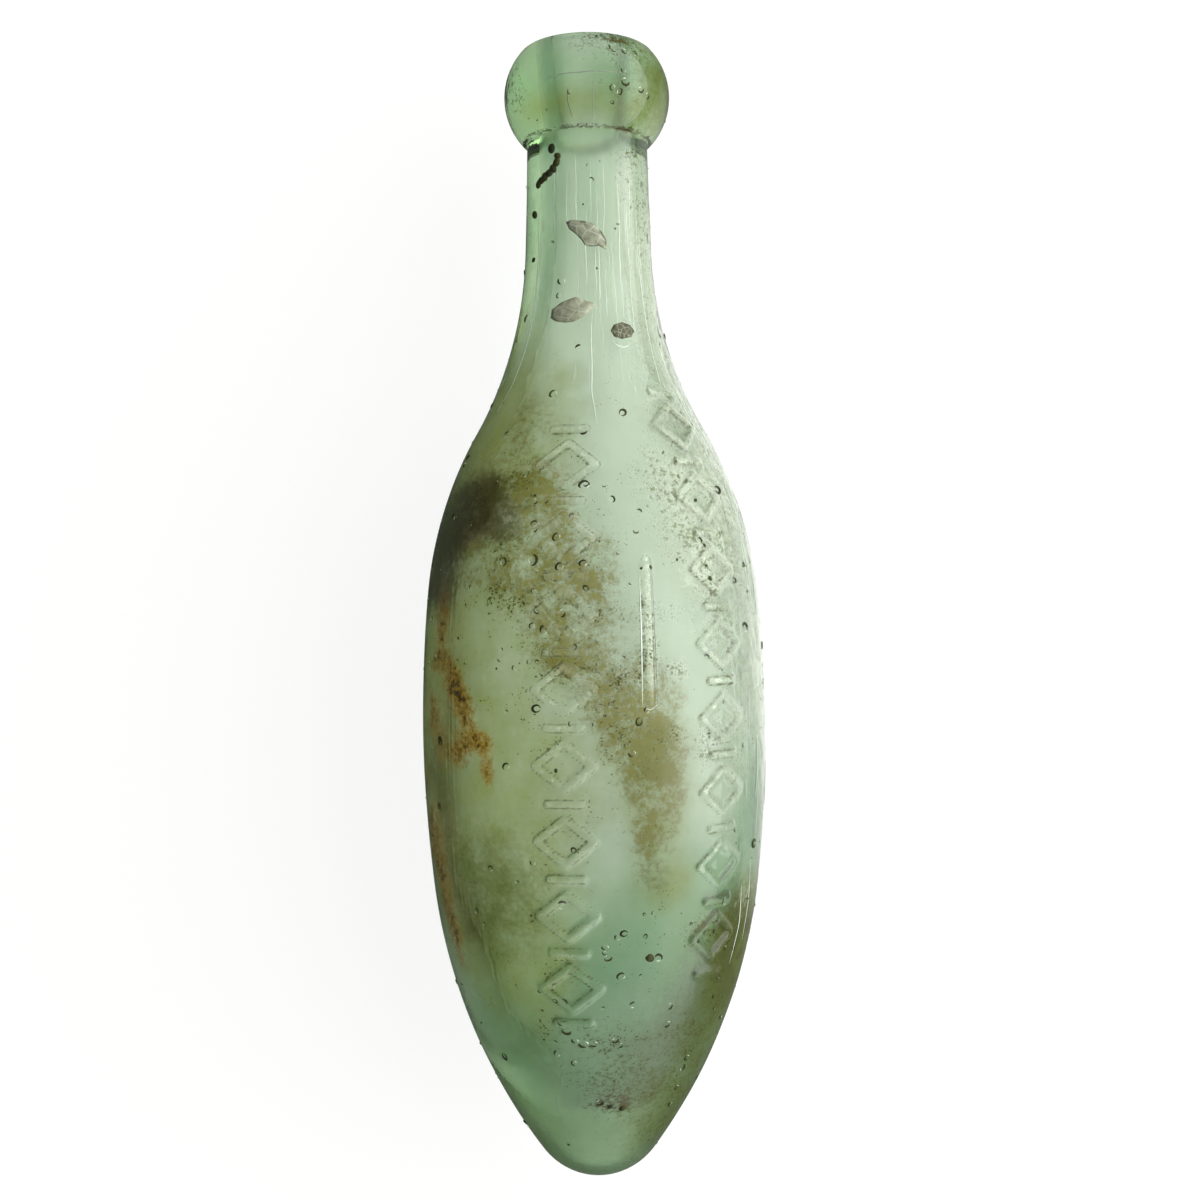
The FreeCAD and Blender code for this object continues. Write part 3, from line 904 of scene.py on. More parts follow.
    def _faces(self, rings: int, around: int) -> list[list[int]]:
        """Join rings of points to each other, and the outermost ones to one point each.

        Args:
            rings: How many rings there are. The two end points come after them.
            around: How many points each ring has.

        Returns:
            Vertex numbers of each face.
        """
        ring, step = np.meshgrid(np.arange(rings - 1), np.arange(around), indexing="ij")
        low = ring * around + step
        low_after = ring * around + (step + 1) % around
        quads = np.stack([low, low_after, low_after + around, low + around], axis=-1).reshape(-1, 4)
        line = np.arange(around)
        after = np.roll(line, -1)
        last = (rings - 1) * around
        end = rings * around
        tip_fan = np.stack([np.full(around, end), after, line], axis=1)
        end_fan = np.stack([last + line, last + after, np.full(around, end + 1)], axis=1)
        return [*quads.tolist(), *tip_fan.tolist(), *end_fan.tolist()]

    def _numbers(self, at: Places, within: np.ndarray, raised: np.ndarray) -> dict[str, np.ndarray]:
        """Work out what every vertex carries: its wall, the mould work's edges with their painted shade, and
        each stain.

        Args:
            at: The vertices' places before they were displaced.
            within: How far inside each vertex is.
            raised: How far the mould work stands out there.

        Returns:
            Values for every vertex, by the attribute's name.
        """
        crest = raised / self.mould_work.relief
        # The mould work's stroke edges: dirt and painted shade
        numbers = {"inside": within, Deposit.CREASE_DIRT_SHADE.value: 4 * crest * (1 - crest)}
        # Pale tops of the mould work: wear and painted highlight, a little more on the right
        worn_sheen = np.interp(at.along, self.worn_sheen_heights, self.worn_sheen_shares)
        worn_sheen *= np.where(at.turn > 0, self.worn_sheen_right, 1.0)
        walls = {look.deposit: look.wall for look in DEPOSIT_LOOKS}
        for deposit, patches in PATCHES.items():
            bare = 1 - worn_sheen * crest if deposit is Deposit.LIME_SHEEN else np.ones_like(crest)
            for patch in patches:
                bare *= 1 - np.clip(patch.share(at), 0, 1)
            on_wall = within if walls[deposit] is Wall.INNER else 1 - within
            numbers[deposit.value] = (1 - bare) * on_wall
        return numbers


@dataclass(frozen=True)
class DarkPit:
    """Dirt and painted shade that fill an open blister, with a painted highlight, the glint, on the glass
    beside it.
    """

    # Dark colours: dirt and painted shade of a pit's edge; glint: the colour of the painted highlight
    dirt: Triple = (0.018, 0.024, 0.006)
    brown: Triple = (0.045, 0.05, 0.010)
    glint: Triple = (0.72, 0.80, 0.70)
    mottle_size: float = 5.0
    roughness: float = 0.8

    def build(self) -> bpy.types.Material:
        """Make the material.

        Returns:
            The material, dark where the mesh's glint is nought and a pale painted highlight where it is one.
        """
        material, shade = new_material("pit_dirt_shade_and_highlight")
        place = shade.node("ShaderNodeTexCoord").outputs["Object"]
        mottle = shade.ramp(shade.noise(place, self.mottle_size, 2), 0.4, 0.6)
        dirt = shade.mix(mottle, (*self.dirt, 1), (*self.brown, 1))
        colour = shade.mix(shade.attribute("glint"), dirt, (*self.glint, 1))
        surface = shade.node("ShaderNodeBsdfPrincipled", {"Base Color": colour, "Roughness": self.roughness})
        shade.node("ShaderNodeOutputMaterial", {"Surface": surface.outputs[0]})
        return material


@dataclass(frozen=True)
class Pit:
    """One pit: its turn and spin in degrees, its height and radius, and which form it has."""

    turn: float
    along: float
    size: float
    spin: float
    form: int


# Turn, height, radius, spin and form of the pits that the photograph shows
HAND_PITS = tuple(Pit(*row) for row in (
    (-34.5, 207.6, 1.3, 0, 3), (-28, 205.9, 1.04, 73, 3), (-29, 204.6, 1.23, 146, 3),
    (-32.6, 203.5, 1.23, 219, 3), (-37.1, 202.8, 1.23, 292, 3), (-42.3, 202.2, 1.23, 5, 3),
    (-46.6, 201.7, 1.17, 78, 3), (-50.6, 201.1, 1.17, 151, 3), (-56.3, 195.2, 1.17, 224, 3),
    (-57, 186.1, 0.78, 297, 3), (7.5, 136.3, 0.62, 120, 1), (15.1, 130.3, 0.5, 30, 1),
    (19.2, 123.5, 0.56, 0, 3), (29.1, 124.9, 0.4, 0, 3), (41.5, 136.4, 0.56, 90, 3),
    (50.8, 137.9, 0.48, 0, 3), (57.3, 138.8, 0.93, 80, 2), (41.5, 127.7, 0.48, 0, 3),
    (39.5, 128.6, 0.62, 200, 1), (50.6, 130.5, 0.68, 60, 1), (42.1, 121.3, 0.72, 0, 3),
    (55.4, 121.0, 0.56, 90, 2), (63.9, 124.1, 0.56, 90, 2), (31.1, 145.7, 0.37, 100, 1),
    (12.5, 120.6, 0.37, 45, 0), (8.6, 126.2, 0.31, 0, 1), (41.1, 123.8, 0.4, 90, 3),
    (-2.4, 139.1, 0.93, 200, 1), (-1.6, 139.3, 0.56, 20, 1), (-19.0, 142.6, 0.37, 0, 1),
    (-6.5, 133.2, 0.5, 190, 1), (-11.6, 129.3, 0.74, 200, 1), (-30.1, 124.9, 0.74, 20, 1),
    (-19.3, 125.1, 0.99, 10, 1), (-10.3, 123.8, 0.74, 180, 1), (-2.7, 124.3, 0.68, 190, 1),
    (-1.8, 119.7, 0.56, 120, 2), (-18.8, 119.4, 0.43, 160, 1), (-17.4, 115.6, 0.5, 250, 1),
    (-9.3, 115.2, 0.68, 10, 0), (-19.0, 112.9, 0.56, 150, 1), (-15.1, 112.1, 0.81, 190, 0),
    (-29.6, 108.5, 0.37, 60, 0), (-30.0, 106.6, 0.43, 250, 0), (-31.2, 104.9, 0.32, 0, 3),
    (-24.8, 105.0, 0.5, 190, 0), (-20.0, 106.2, 0.37, 180, 1), (-11.9, 108.1, 0.37, 200, 1),
    (-5.6, 108.9, 0.56, 30, 1), (-17.4, 97.6, 0.81, 100, 2), (-6.9, 94.8, 0.43, 180, 1),
    (-0.7, 94.7, 0.43, 60, 0), (-27.5, 96.9, 0.37, 90, 0), (-20.1, 136.2, 0.5, 10, 0),
    (-15.8, 136.2, 0.43, 10, 0), (-19.3, 130.9, 0.56, 10, 0), (-4.6, 144.8, 0.31, 0, 0),
    (-34.9, 117.6, 0.43, 0, 2), (18.3, 50.6, 1, 0, 3), (18.3, 50.6, 0.78, 90, 2), (8.5, 47.3, 0.74, 0, 1),
    (3.9, 51.0, 0.68, 170, 1), (2.8, 52.0, 0.43, 120, 1), (6.9, 54.8, 0.5, 60, 0),
    (16.5, 54.8, 0.43, 200, 2), (18.8, 59.2, 0.31, 0, 1), (-43.7, 58.5, 0.56, 10, 1),
    (-40.8, 56.2, 0.37, 90, 0), (-25.6, 65.1, 0.37, 60, 0), (-19.9, 68.9, 0.5, 200, 0),
    (-12.4, 42.2, 0.74, 10, 0), (-20.8, 40.2, 0.32, 0, 3), (-13.9, 38.0, 0.56, 200, 0),
    (-12.2, 36.3, 0.87, 190, 1), (-5.6, 33.6, 0.87, 185, 0), (-9.1, 34.3, 0.62, 170, 0),
    (-1.3, 33.6, 0.62, 200, 0), (7.2, 34.3, 0.62, 180, 1), (9.6, 33.2, 0.5, 200, 0),
    (-22.3, 34.1, 0.32, 0, 3), (-17.4, 33.8, 0.31, 0, 1), (-10.4, 29.5, 0.56, 120, 1),
    (13.2, 41.4, 0.62, 5, 0), (28.6, 40.3, 0.62, 190, 0), (2.2, 41.0, 0.37, 10, 0),
    (15.8, 35.0, 0.31, 190, 0), (28.9, 36.6, 0.62, 150, 0), (45.2, 28.1, 0.62, 50, 1),
    (44.7, 26.0, 0.68, 200, 1), (46.1, 21.6, 0.56, 60, 1), (47.0, 17.8, 0.5, 30, 1),
    (13.4, 19.1, 0.88, 0, 3), (0.7, 20.7, 0.74, 190, 1), (6.4, 19.7, 0.72, 0, 3), (-24.2, 10.1, 0.4, 0, 3),
    (-15.1, 45.5, 0.5, 80, 0), (-20.6, 44.2, 0.5, 220, 0), (36.8, 52.7, 0.64, 20, 3),
    (39.3, 54.2, 0.64, 0, 3), (44.4, 53.9, 0.64, 0, 3), (49.7, 54.4, 0.43, 0, 1), (47.8, 59.4, 0.74, 10, 0),
    (51.5, 40.1, 0.56, 0, 3), (59.8, 48.9, 0.64, 0, 3), (52.7, 49.8, 0.43, 60, 1), (15.6, 47.1, 0.37, 0, 0),
    (-57.9, 34.6, 0.32, 0, 3), (27.2, 219.2, 0.81, 90, 1), (18.0, 217.8, 0.56, 30, 1),
    (23.3, 217.2, 0.62, 190, 1), (40.2, 218.3, 0.62, 110, 1), (46.8, 217.5, 0.56, 190, 0),
    (15.6, 226.1, 0.62, 150, 0), (25.8, 221.3, 0.5, 30, 0), (18.7, 215.2, 0.37, 90, 2),
    (3.7, 200.7, 0.43, 200, 1), (-4.0, 195.8, 0.28, 0, 3), (7.2, 183.0, 0.32, 0, 3),
    (-33.8, 188.6, 0.5, 80, 0), (-23.2, 180.7, 0.74, 240, 0), (28.3, 225.5, 0.56, 10, 1),
    (20.1, 225.4, 0.43, 0, 1), (37.2, 225.5, 0.5, 200, 1), (8.6, 228.6, 0.4, 0, 3),
    (-6.5, 71.4, 0.56, 0, 2), (-11.5, 86.2, 0.56, 0, 3), (4.9, 138.9, 0.31, 0, 1),
))


@dataclass
class Pits:
    """Small open blisters in the outer wall, as dark crescents of dirt and painted shade with a painted
    highlight (the glint) beside them, and crumbs of dirt.

    A pit's form is the number of its sweep, which is how far its dark arc goes round, in degrees.
    The form after the last sweep is a crumb. Kinds holds each form as often as it is likely.
    The glint starts a gap after the dark arc, and the two cover no more than the whole sweep.
    """

    glass: BlownBottle
    count: int = 520
    span: Span = (4.0, 226.0)
    ledge: Span = (209.0, 213.0)
    smallest: float = 0.22
    largest: float = 1.0
    rarity: float = 2.2
    sweeps: tuple[float, ...] = (130, 205, 330)
    glint_sweep: float = 70
    glint_gap: float = 60
    whole_sweep: float = 380
    arc_form: Triple = (1.0, 0.8, 0.6)
    arc_tip: float = 0.15
    crumb_radius: float = 0.8
    crumb_form: Triple = (1.0, 0.8, 0.45)
    slope_step: float = 0.2
    kinds: tuple[int, ...] = (0, 0, 0, 1, 1, 2, 3, 3)
    crumb_share: float = 0.45
    stroke: float = 0.4
    glint_share: float = 0.4
    seed: int = 23

    def build(self) -> bpy.types.Object:
        """Place the pits and turn them into one plain mesh.

        Returns:
            The finished piece.
        """
        seeds = self._seeds()
        modifier = seeds.modifiers.new("pits", "NODES")
        modifier.node_group = self._tree(DarkPit().build())
        sockets = {item.name: item.identifier for item in modifier.node_group.interface.items_tree}
        modifier[sockets["Stroke"]] = self.stroke
        modifier[sockets["Glint stroke"]] = self.stroke * self.glint_share
        evaluated = seeds.evaluated_get(bpy.context.evaluated_depsgraph_get())
        mesh = bpy.data.meshes.new_from_object(evaluated)
        seeds.modifiers.clear()
        bpy.data.objects.remove(seeds)
        mesh.name = "pits"
        mesh.polygons.foreach_set("use_smooth", np.ones(len(mesh.polygons), bool))
        return add_object("pits", mesh)

    def _places(self) -> list[Pit]:
        """Scatter pits between the listed ones, fewer where the bottle is narrow.

        Returns:
            All the pits, the listed ones first.
        """
        random = np.random.default_rng(self.seed)
        places = list(HAND_PITS)
        while len(places) < self.count:
            along = random.uniform(*self.span)
            turn = random.uniform(-180, 180)
            reach = float(self.glass.reach_at(along))
            if random.random() * WIDEST_REACH > reach or self.ledge[0] < along < self.ledge[1]:
                continue
            size = self.smallest * (self.largest / self.smallest) ** (random.random() ** self.rarity)
            form = int(random.choice(self.kinds))
            size *= self.crumb_share if form == len(self.sweeps) else 1
            places.append(Pit(turn, along, size, random.uniform(0, 360), form))
        return places

    def _seeds(self) -> bpy.types.Object:
        """Set a point where each pit is, with its size, form and facing.

        Returns:
            The points, as one object.
        """
        pits = self._places()
        along = np.array([pit.along for pit in pits])
        turn = np.radians([pit.turn for pit in pits])
        reach = self.glass.reach_at(along)
        ahead = self.glass.reach_at(along + self.slope_step)
        slope = (ahead - self.glass.reach_at(along - self.slope_step)) / (2 * self.slope_step)
        mesh = bpy.data.meshes.new("pit_places")
        mesh.from_pydata((Places(turn, along, reach).points() * MM).tolist(), [], [])
        facing = []
        for pit, angle, rise in zip(pits, turn, slope):
            out = Vector((math.sin(angle), -rise, math.cos(angle))).normalized()
            aimed = out.to_track_quat("Z", "Y") @ Quaternion((0, 0, 1), math.radians(pit.spin))
            facing.append(list(aimed.to_euler()))
        for name, kind, key, values in (
            ("facing", "FLOAT_VECTOR", "vector", np.ravel(facing)),
            ("size", "FLOAT", "value", [pit.size * MM for pit in pits]),
            ("form", "INT", "value", [pit.form for pit in pits]),
        ):
            mesh.attributes.new(name, kind, "POINT").data.foreach_set(key, values)
        return add_object("pit_places", mesh)

    def _tree(self, material: bpy.types.Material) -> bpy.types.NodeTree:
        """Build the nodes that set a crescent or a crumb on each point.

        Args:
            material: What the pits are made of.

        Returns:
            The node group.
        """
        tree = bpy.data.node_groups.new("pits", "GeometryNodeTree")
        shade = Shade(tree)
        face = tree.interface
        face.new_socket("Geometry", in_out="INPUT", socket_type="NodeSocketGeometry")
        for name in ("Stroke", "Glint stroke"):
            face.new_socket(name, in_out="INPUT", socket_type="NodeSocketFloat")
        face.new_socket("Geometry", in_out="OUTPUT", socket_type="NodeSocketGeometry")
        given = shade.node("NodeGroupInput")
        facing, size, form = (
            shade.node("GeometryNodeInputNamedAttribute", {"Name": name}, data_type=kind).outputs[0]
            for name, kind in (("facing", "FLOAT_VECTOR"), ("size", "FLOAT"), ("form", "INT"))
        )
        turned = shade.node("FunctionNodeEulerToRotation", {0: facing})
        every = shade.node("GeometryNodeJoinGeometry")
        shapes = [self._crescent(shade, sweep, given) for sweep in self.sweeps]
        for number, shape in enumerate([*shapes, self._crumb(shade)]):
            chosen = shade.node(
                "FunctionNodeCompare",
                {2: form, 3: number},
                data_type="INT",
                operation="EQUAL",
            )
            placed = shade.node(
                "GeometryNodeInstanceOnPoints",
                {
                    "Points": given.outputs["Geometry"],
                    "Selection": chosen.outputs[0],
                    "Instance": shape,
                    "Rotation": turned.outputs[0],
                    "Scale": size,
                },
            )
            tree.links.new(placed.outputs[0], every.inputs[0])
        real = shade.node("GeometryNodeRealizeInstances", {0: every.outputs[0]})
        dressed = shade.node("GeometryNodeSetMaterial", {"Geometry": real.outputs[0], "Material": material})
        shade.node("NodeGroupOutput", {0: dressed.outputs[0]})
        return tree

    def _crescent(self, shade: Shade, sweep: float, given: bpy.types.Node) -> Socket:
        """Add the nodes of a dark arc of dirt and painted shade with a pale arc of painted highlight beside
        it.

        Args:
            shade: The tree's helper.
            sweep: How far round the dark arc goes, in degrees.
            given: The tree's inputs.

        Returns:
            The flattened pair.
        """
        # The dark arc is dirt and painted shade; the pale one beside it is a painted highlight
        dark = self._arc(shade, sweep, 0, given.outputs["Stroke"], 0.0)
        pale_sweep = min(self.glint_sweep, self.whole_sweep - sweep)
        pale = self._arc(shade, pale_sweep, sweep + self.glint_gap, given.outputs["Glint stroke"], 1.0)
        both = shade.node("GeometryNodeJoinGeometry")
        shade.tree.links.new(pale, both.inputs[0])
        shade.tree.links.new(dark, both.inputs[0])
        flat = shade.node("GeometryNodeTransform", {"Geometry": both.outputs[0], "Scale": self.arc_form})
        return flat.outputs[0]

    def _crumb(self, shade: Shade) -> Socket:
        """Add the nodes of a low crumb of dirt.

        Args:
            shade: The tree's helper.

        Returns:
            The crumb.
        """
        ball = shade.node("GeometryNodeMeshIcoSphere", {"Radius": self.crumb_radius, "Subdivisions": 2})
        flat = shade.node("GeometryNodeTransform", {"Geometry": ball.outputs[0], "Scale": self.crumb_form})
        return flat.outputs[0]

    def _arc(self, shade: Shade, sweep: float, start: float, stroke: Socket, glint: float) -> Socket:
        """Add the nodes of one tapered arc of radius 1.

        Args:
            shade: The tree's helper.
            sweep: How far round the arc goes, in degrees.
            start: Where it starts, in degrees.
            stroke: Half its thickness at the middle.
            glint: What it keeps as its glint, one for the pale painted highlight and nought for the dark arc.

        Returns:
            The arc's mesh.
        """
        ends = {"Start Angle": math.radians(start), "Sweep Angle": math.radians(sweep)}
        arc = shade.node("GeometryNodeCurveArc", {"Resolution": 9, "Radius": 1.0, **ends})
        share = shade.node("GeometryNodeSplineParameter").outputs["Factor"]
        swell = shade.math("SINE", shade.math("MULTIPLY", share, math.pi))
        taper = shade.math("MULTIPLY_ADD", swell, 1 - self.arc_tip, self.arc_tip)
        profile = shade.node("GeometryNodeCurvePrimitiveCircle", {"Resolution": 5, "Radius": stroke})
        swept = shade.node(
            "GeometryNodeCurveToMesh",
            {"Curve": arc.outputs[0], "Profile Curve": profile.outputs[0], "Scale": taper, "Fill Caps": True},
        )
        kept = shade.node(
            "GeometryNodeStoreNamedAttribute",
            {"Geometry": swept.outputs[0], "Name": "glint", "Value": glint},
            data_type="FLOAT",
        )
        return kept.outputs[0]


@dataclass(frozen=True)
class Strand:
    """A fine line in the glass: its way as turns and heights, half its width, and how pale it is, pale being
    painted highlight and dark being dirt and painted shade.
    """

    way: tuple[Span, ...]
    half_width: float
    highlight_share: float


# Way, half width and highlight share of the lines that the photograph shows: a long line down the neck, neck,
# lip, rib, limb. Pale lines are painted highlights, darker ones dirt and painted shade
STRANDS = tuple(Strand(*row) for row in (
    ((
      (-47.4, 199.7), (-49.7, 191.8), (-49.2, 183.6), (-49, 175.3), (-50.2, 167.2), (-53.5, 160.1),
      (-58.5, 155.2)
    ), 0.16, 1),
    (((2.7, 174.7), (1.3, 169.2), (1.5, 163), (1, 157.5), (2.1, 154.9), (3.4, 150.9)), 0.13, 1),
    (((7.6, 200.7), (9.3, 184.6), (7.9, 168.2)), 0.07, 0.9),
    (((14, 207), (15, 196), (13, 188)), 0.07, 0.9),
    (((20, 190), (22, 178), (20, 160)), 0.07, 0.9),
    (((27, 204), (29, 192), (27, 176)), 0.08, 1),
    (((36, 200), (38, 184), (34, 164)), 0.07, 0.9),
    (((48, 196), (50, 180), (46, 158)), 0.09, 1),
    ((
      (-30.8, 219.6), (-22.6, 220.2), (-13, 220.5), (-4.1, 220.5), (4.7, 220.8), (15.9, 220.7),
      (25.6, 220.9)
    ), 0.12, 0.35),
    (((-12.8, 217.9), (-13.1, 215.4), (-11.2, 212.5)), 0.12, 0.25),
    (((4.8, 219.2), (4.7, 215.9), (4.6, 211.6)), 0.07, 0.35),
    (((40.7, 213.9), (37.9, 212.8), (34.9, 211.8)), 0.12, 0.35),
    (((15.4, 125.2), (15.2, 111), (15.0, 97.8)), 0.17, 1),
    (((19.6, 124.6), (19.7, 111), (19.9, 98)), 0.07, 0.3),
    (((15.0, 97.8), (17.4, 97.0), (19.9, 98)), 0.1, 0.9),
    (((15, 168.5), (19, 167.3), (24, 166.9), (30, 167.9)), 0.13, 1),
    (((58, 62), (60, 54), (58, 46)), 0.12, 1),
    (((64, 66), (66, 58), (66, 50)), 0.1, 1),
    (((74, 130), (74, 118), (72, 100)), 0.1, 1),
))


@dataclass
class Strands:
    """Fine raised lines, pale ones painted highlights and darker ones dirt and painted shade: a long line
    down the neck, creases, stretch marks on the neck and glints on the right limb.

    Of the scattered lines, turns are the middle and the spread, feet, lengths and half widths
    the least and the greatest, and leans how far the middle and the head stray.
    """

    glass: BlownBottle
    across: int = 5
    spacing: float = 1.0
    flatness: float = 0.4
    end_share: float = 0.25
    fewest_rings: int = 6
    knot_rings: int = 3
    stretch_marks: int = 70
    mark_turns: Span = (32, 30)
    mark_gathering: float = 0.75
    mark_feet: Span = (146, 196)
    mark_lengths: Span = (3, 15)
    mark_top: float = 209
    mark_lean: float = 1.2
    mark_bend: float = 0.3
    mark_half_widths: Span = (0.035, 0.08)
    # Highlight shares: one is a pale painted highlight, less is darker dirt and painted shade
    mark_highlight_shares: tuple[float, ...] = (0.75, 1.0)
    limb_lines: int = 45
    limb_turns: Span = (72, 8)
    limb_feet: Span = (62, 150)
    limb_lengths: Span = (4, 22)
    limb_leans: Span = (1.0, 0.6)
    limb_half_widths: Span = (0.04, 0.10)
    limb_highlight_shares: tuple[float, ...] = (0.25, 1.0, 1.0)
    seed: int = 31

    def build(self) -> bpy.types.Object:
        """Make every line as a thin tapered tube, half sunk in the glass.

        Returns:
            The finished piece.
        """
        tubes = []
        faces = []
        highlight_share = []
        for strand in (*STRANDS, *self._scattered()):
            first = len(highlight_share)
            tube = self._tube(strand)
            tubes.append(tube)
            highlight_share.extend([strand.highlight_share] * len(tube))
            last = len(highlight_share) - self.across
            for low in range(first, last, self.across):
                for side in range(self.across):
                    after = (side + 1) % self.across
                    high = low + self.across
                    faces.append((low + side, low + after, high + after, high + side))
            faces.append(tuple(first + side for side in reversed(range(self.across))))
            faces.append(tuple(last + side for side in range(self.across)))
        # glint carries each line's share of painted highlight
        piece = add_piece("strands", np.concatenate(tubes), faces, {"glint": highlight_share})
        piece.data.materials.append(DarkPit().build())
        return piece

    def _scattered(self) -> list[Strand]:
        """Scatter short lines over the neck and its root, most on the right, and the right limb.

        Returns:
            The stretch marks, then the limb's lines.
        """
        random = np.random.default_rng(self.seed)
        lines = []
        for _ in range(self.stretch_marks):
            gathered = random.random() < self.mark_gathering
            turn = random.normal(*self.mark_turns) if gathered else random.uniform(-180, 180)
            foot = random.uniform(*self.mark_feet)
            head = min(foot + random.uniform(*self.mark_lengths), self.mark_top)
            lean = random.normal(0, self.mark_lean)
            way = ((turn, foot), (turn + lean, (foot + head) / 2), (turn + lean * self.mark_bend, head))
            half_width = random.uniform(*self.mark_half_widths)
            lines.append(Strand(way, half_width, random.choice(self.mark_highlight_shares)))
        for _ in range(self.limb_lines):
            turn = random.normal(*self.limb_turns)
            foot = random.uniform(*self.limb_feet)
            head = foot + random.uniform(*self.limb_lengths)
            middle, end = (turn + random.normal(0, lean) for lean in self.limb_leans)
            way = ((turn, foot), (middle, (foot + head) / 2), (end, head))
            half_width = random.uniform(*self.limb_half_widths)
            lines.append(Strand(way, half_width, random.choice(self.limb_highlight_shares)))
        return lines

    def _tube(self, strand: Strand) -> np.ndarray:
        """Work out the points of one line's tube.

        Args:
            strand: The line.

        Returns:
            Places in millimetres, ring after ring.
        """
        turns, heights = np.array(strand.way).T
        knots = np.arange(len(turns))
        even = int(abs(heights[0] - heights[-1]) / self.spacing)
        count = max(self.fewest_rings, even + len(turns) * self.knot_rings)
        share = np.linspace(0, len(turns) - 1, count)
        turn = np.radians(np.interp(share, knots, turns))
        along = np.interp(share, knots, heights)
        spine = Places(turn, along, self.glass.reach_at(along)).points()
        spine[1:-1] = (spine[:-2] + spine[1:-1] * 2 + spine[2:]) / 4
        forward = np.gradient(spine, axis=0)
        forward /= np.linalg.norm(forward, axis=1)[:, None]
        out = np.stack([np.sin(turn), np.zeros_like(turn), np.cos(turn)], axis=1)
        aside = np.cross(forward, out)
        aside /= np.linalg.norm(aside, axis=1)[:, None]
        out = np.cross(aside, forward)
        swell = np.sin(np.pi * share / (len(turns) - 1))
        width = strand.half_width * (self.end_share + (1 - self.end_share) * swell)[:, None]
        rings = []
        for side in range(self.across):
            angle = 2 * math.pi * side / self.across
            rings.append(spine + width * (math.cos(angle) * aside + math.sin(angle) * out * self.flatness))
        return np.stack(rings, axis=1).reshape(-1, 3)


@dataclass(frozen=True)
class FlakeCrust:
    """Dry scale: beige in the middle with pale cracks, and a dark rim of dirt and painted shade."""

    middle: Triple
    rim: Triple
    crack: Triple
    name: str
    crack_scale: float = 420.0
    crack_width: float = 0.07
    mottle_size: float = 1.2
    mottle_shade: float = 0.6
    rim_fray: float = 0.9
    rim_levels: Span = (1.25, 1.6)
    crack_cover: float = 0.6
    bump_depth: float = 0.0002

    def build(self) -> bpy.types.Material:
        """Make the material.

        Returns:
            The material, which reads how near the rim each vertex is.
        """
        material, shade = new_material(self.name)
        place = shade.node("ShaderNodeTexCoord").outputs["Object"]
        cells = shade.node(
            "ShaderNodeTexVoronoi",
            {"Vector": place, "Scale": self.crack_scale},
            feature="DISTANCE_TO_EDGE",
        )
        cracked = shade.ramp(cells.outputs["Distance"], self.crack_width, 0.0)
        rough = shade.noise(place, self.mottle_size, 3)
        frayed = shade.math("MULTIPLY_ADD", rough, self.rim_fray, shade.attribute("rim"))
        edge = shade.ramp(frayed, *self.rim_levels)
        shaded = tuple(part * self.mottle_shade for part in self.middle)
        colour = shade.mix(shade.ramp(rough, 0.3, 0.7), (*self.middle, 1), (*shaded, 1))
        colour = shade.mix(shade.math("MULTIPLY", cracked, self.crack_cover), colour, (*self.crack, 1))
        # The dark rim: dirt along the scale's edge and painted shade under it
        colour = shade.mix(edge, colour, (*self.rim, 1))
        bump = shade.node("ShaderNodeBump", {"Height": rough, "Strength": 0.5, "Distance": self.bump_depth})
        surface = shade.node(
            "ShaderNodeBsdfPrincipled",
            {"Base Color": colour, "Roughness": 0.5, "Normal": bump.outputs[0]},
        )
        shade.node("ShaderNodeOutputMaterial", {"Surface": surface.outputs[0]})
        return material


@dataclass(frozen=True)
class Flake:
    """A thin scale on the neck: its outline as turns and heights, thickness and finish."""

    name: str
    outline: tuple[Span, ...]
    crust: FlakeCrust
    thickness: float = 0.16
    sunk: float = -0.1
    rings: int = 6
    around: int = 56

    def build(self, glass: BlownBottle) -> bpy.types.Object:
        """Make the scale, closed and laid on the glass.

        Args:
            glass: The bottle that it lies on.

        Returns:
            The finished piece.
        """
        corners = np.array([*self.outline, self.outline[0]])
        knots = np.linspace(0, 1, len(corners))
        walk = np.linspace(0, 1, self.around, endpoint=False)
        edge = np.stack([np.interp(walk, knots, corners[:, axis]) for axis in (0, 1)], axis=1)
        middle = edge.mean(axis=0)
        rows = []
        lifts = []
        for ring in range(1, self.rings + 1):
            share = ring / self.rings
            rows.append(middle + (edge - middle) * share)
            lifts.append(np.full(self.around, self.thickness * (1 - share**4)))
        rows.append(edge)
        lifts.append(np.full(self.around, self.sunk))
        turn, along = np.concatenate([middle[None], *rows, middle[None]]).T
        lift = np.concatenate([[self.thickness], *lifts, [self.sunk]])
        shares = np.repeat(np.arange(1, self.rings + 1) / self.rings, self.around)
        rim = np.concatenate([[0.0], shares, np.ones(self.around + 1)])
        points = Places(np.radians(turn), along, glass.reach_at(along) + lift).points()
        last = len(points) - 1
        faces = []
        for step in range(self.around):
            after = (step + 1) % self.around
            faces.append((0, 1 + after, 1 + step))
            for ring in range(self.rings):
                low = 1 + ring * self.around
                faces.append((low + step, low + after, low + self.around + after, low + self.around + step))
            faces.append((1 + self.rings * self.around + step, 1 + self.rings * self.around + after, last))
        piece = add_piece(self.name, points, faces, {"rim": rim})
        piece.data.materials.append(self.crust.build())
        return piece


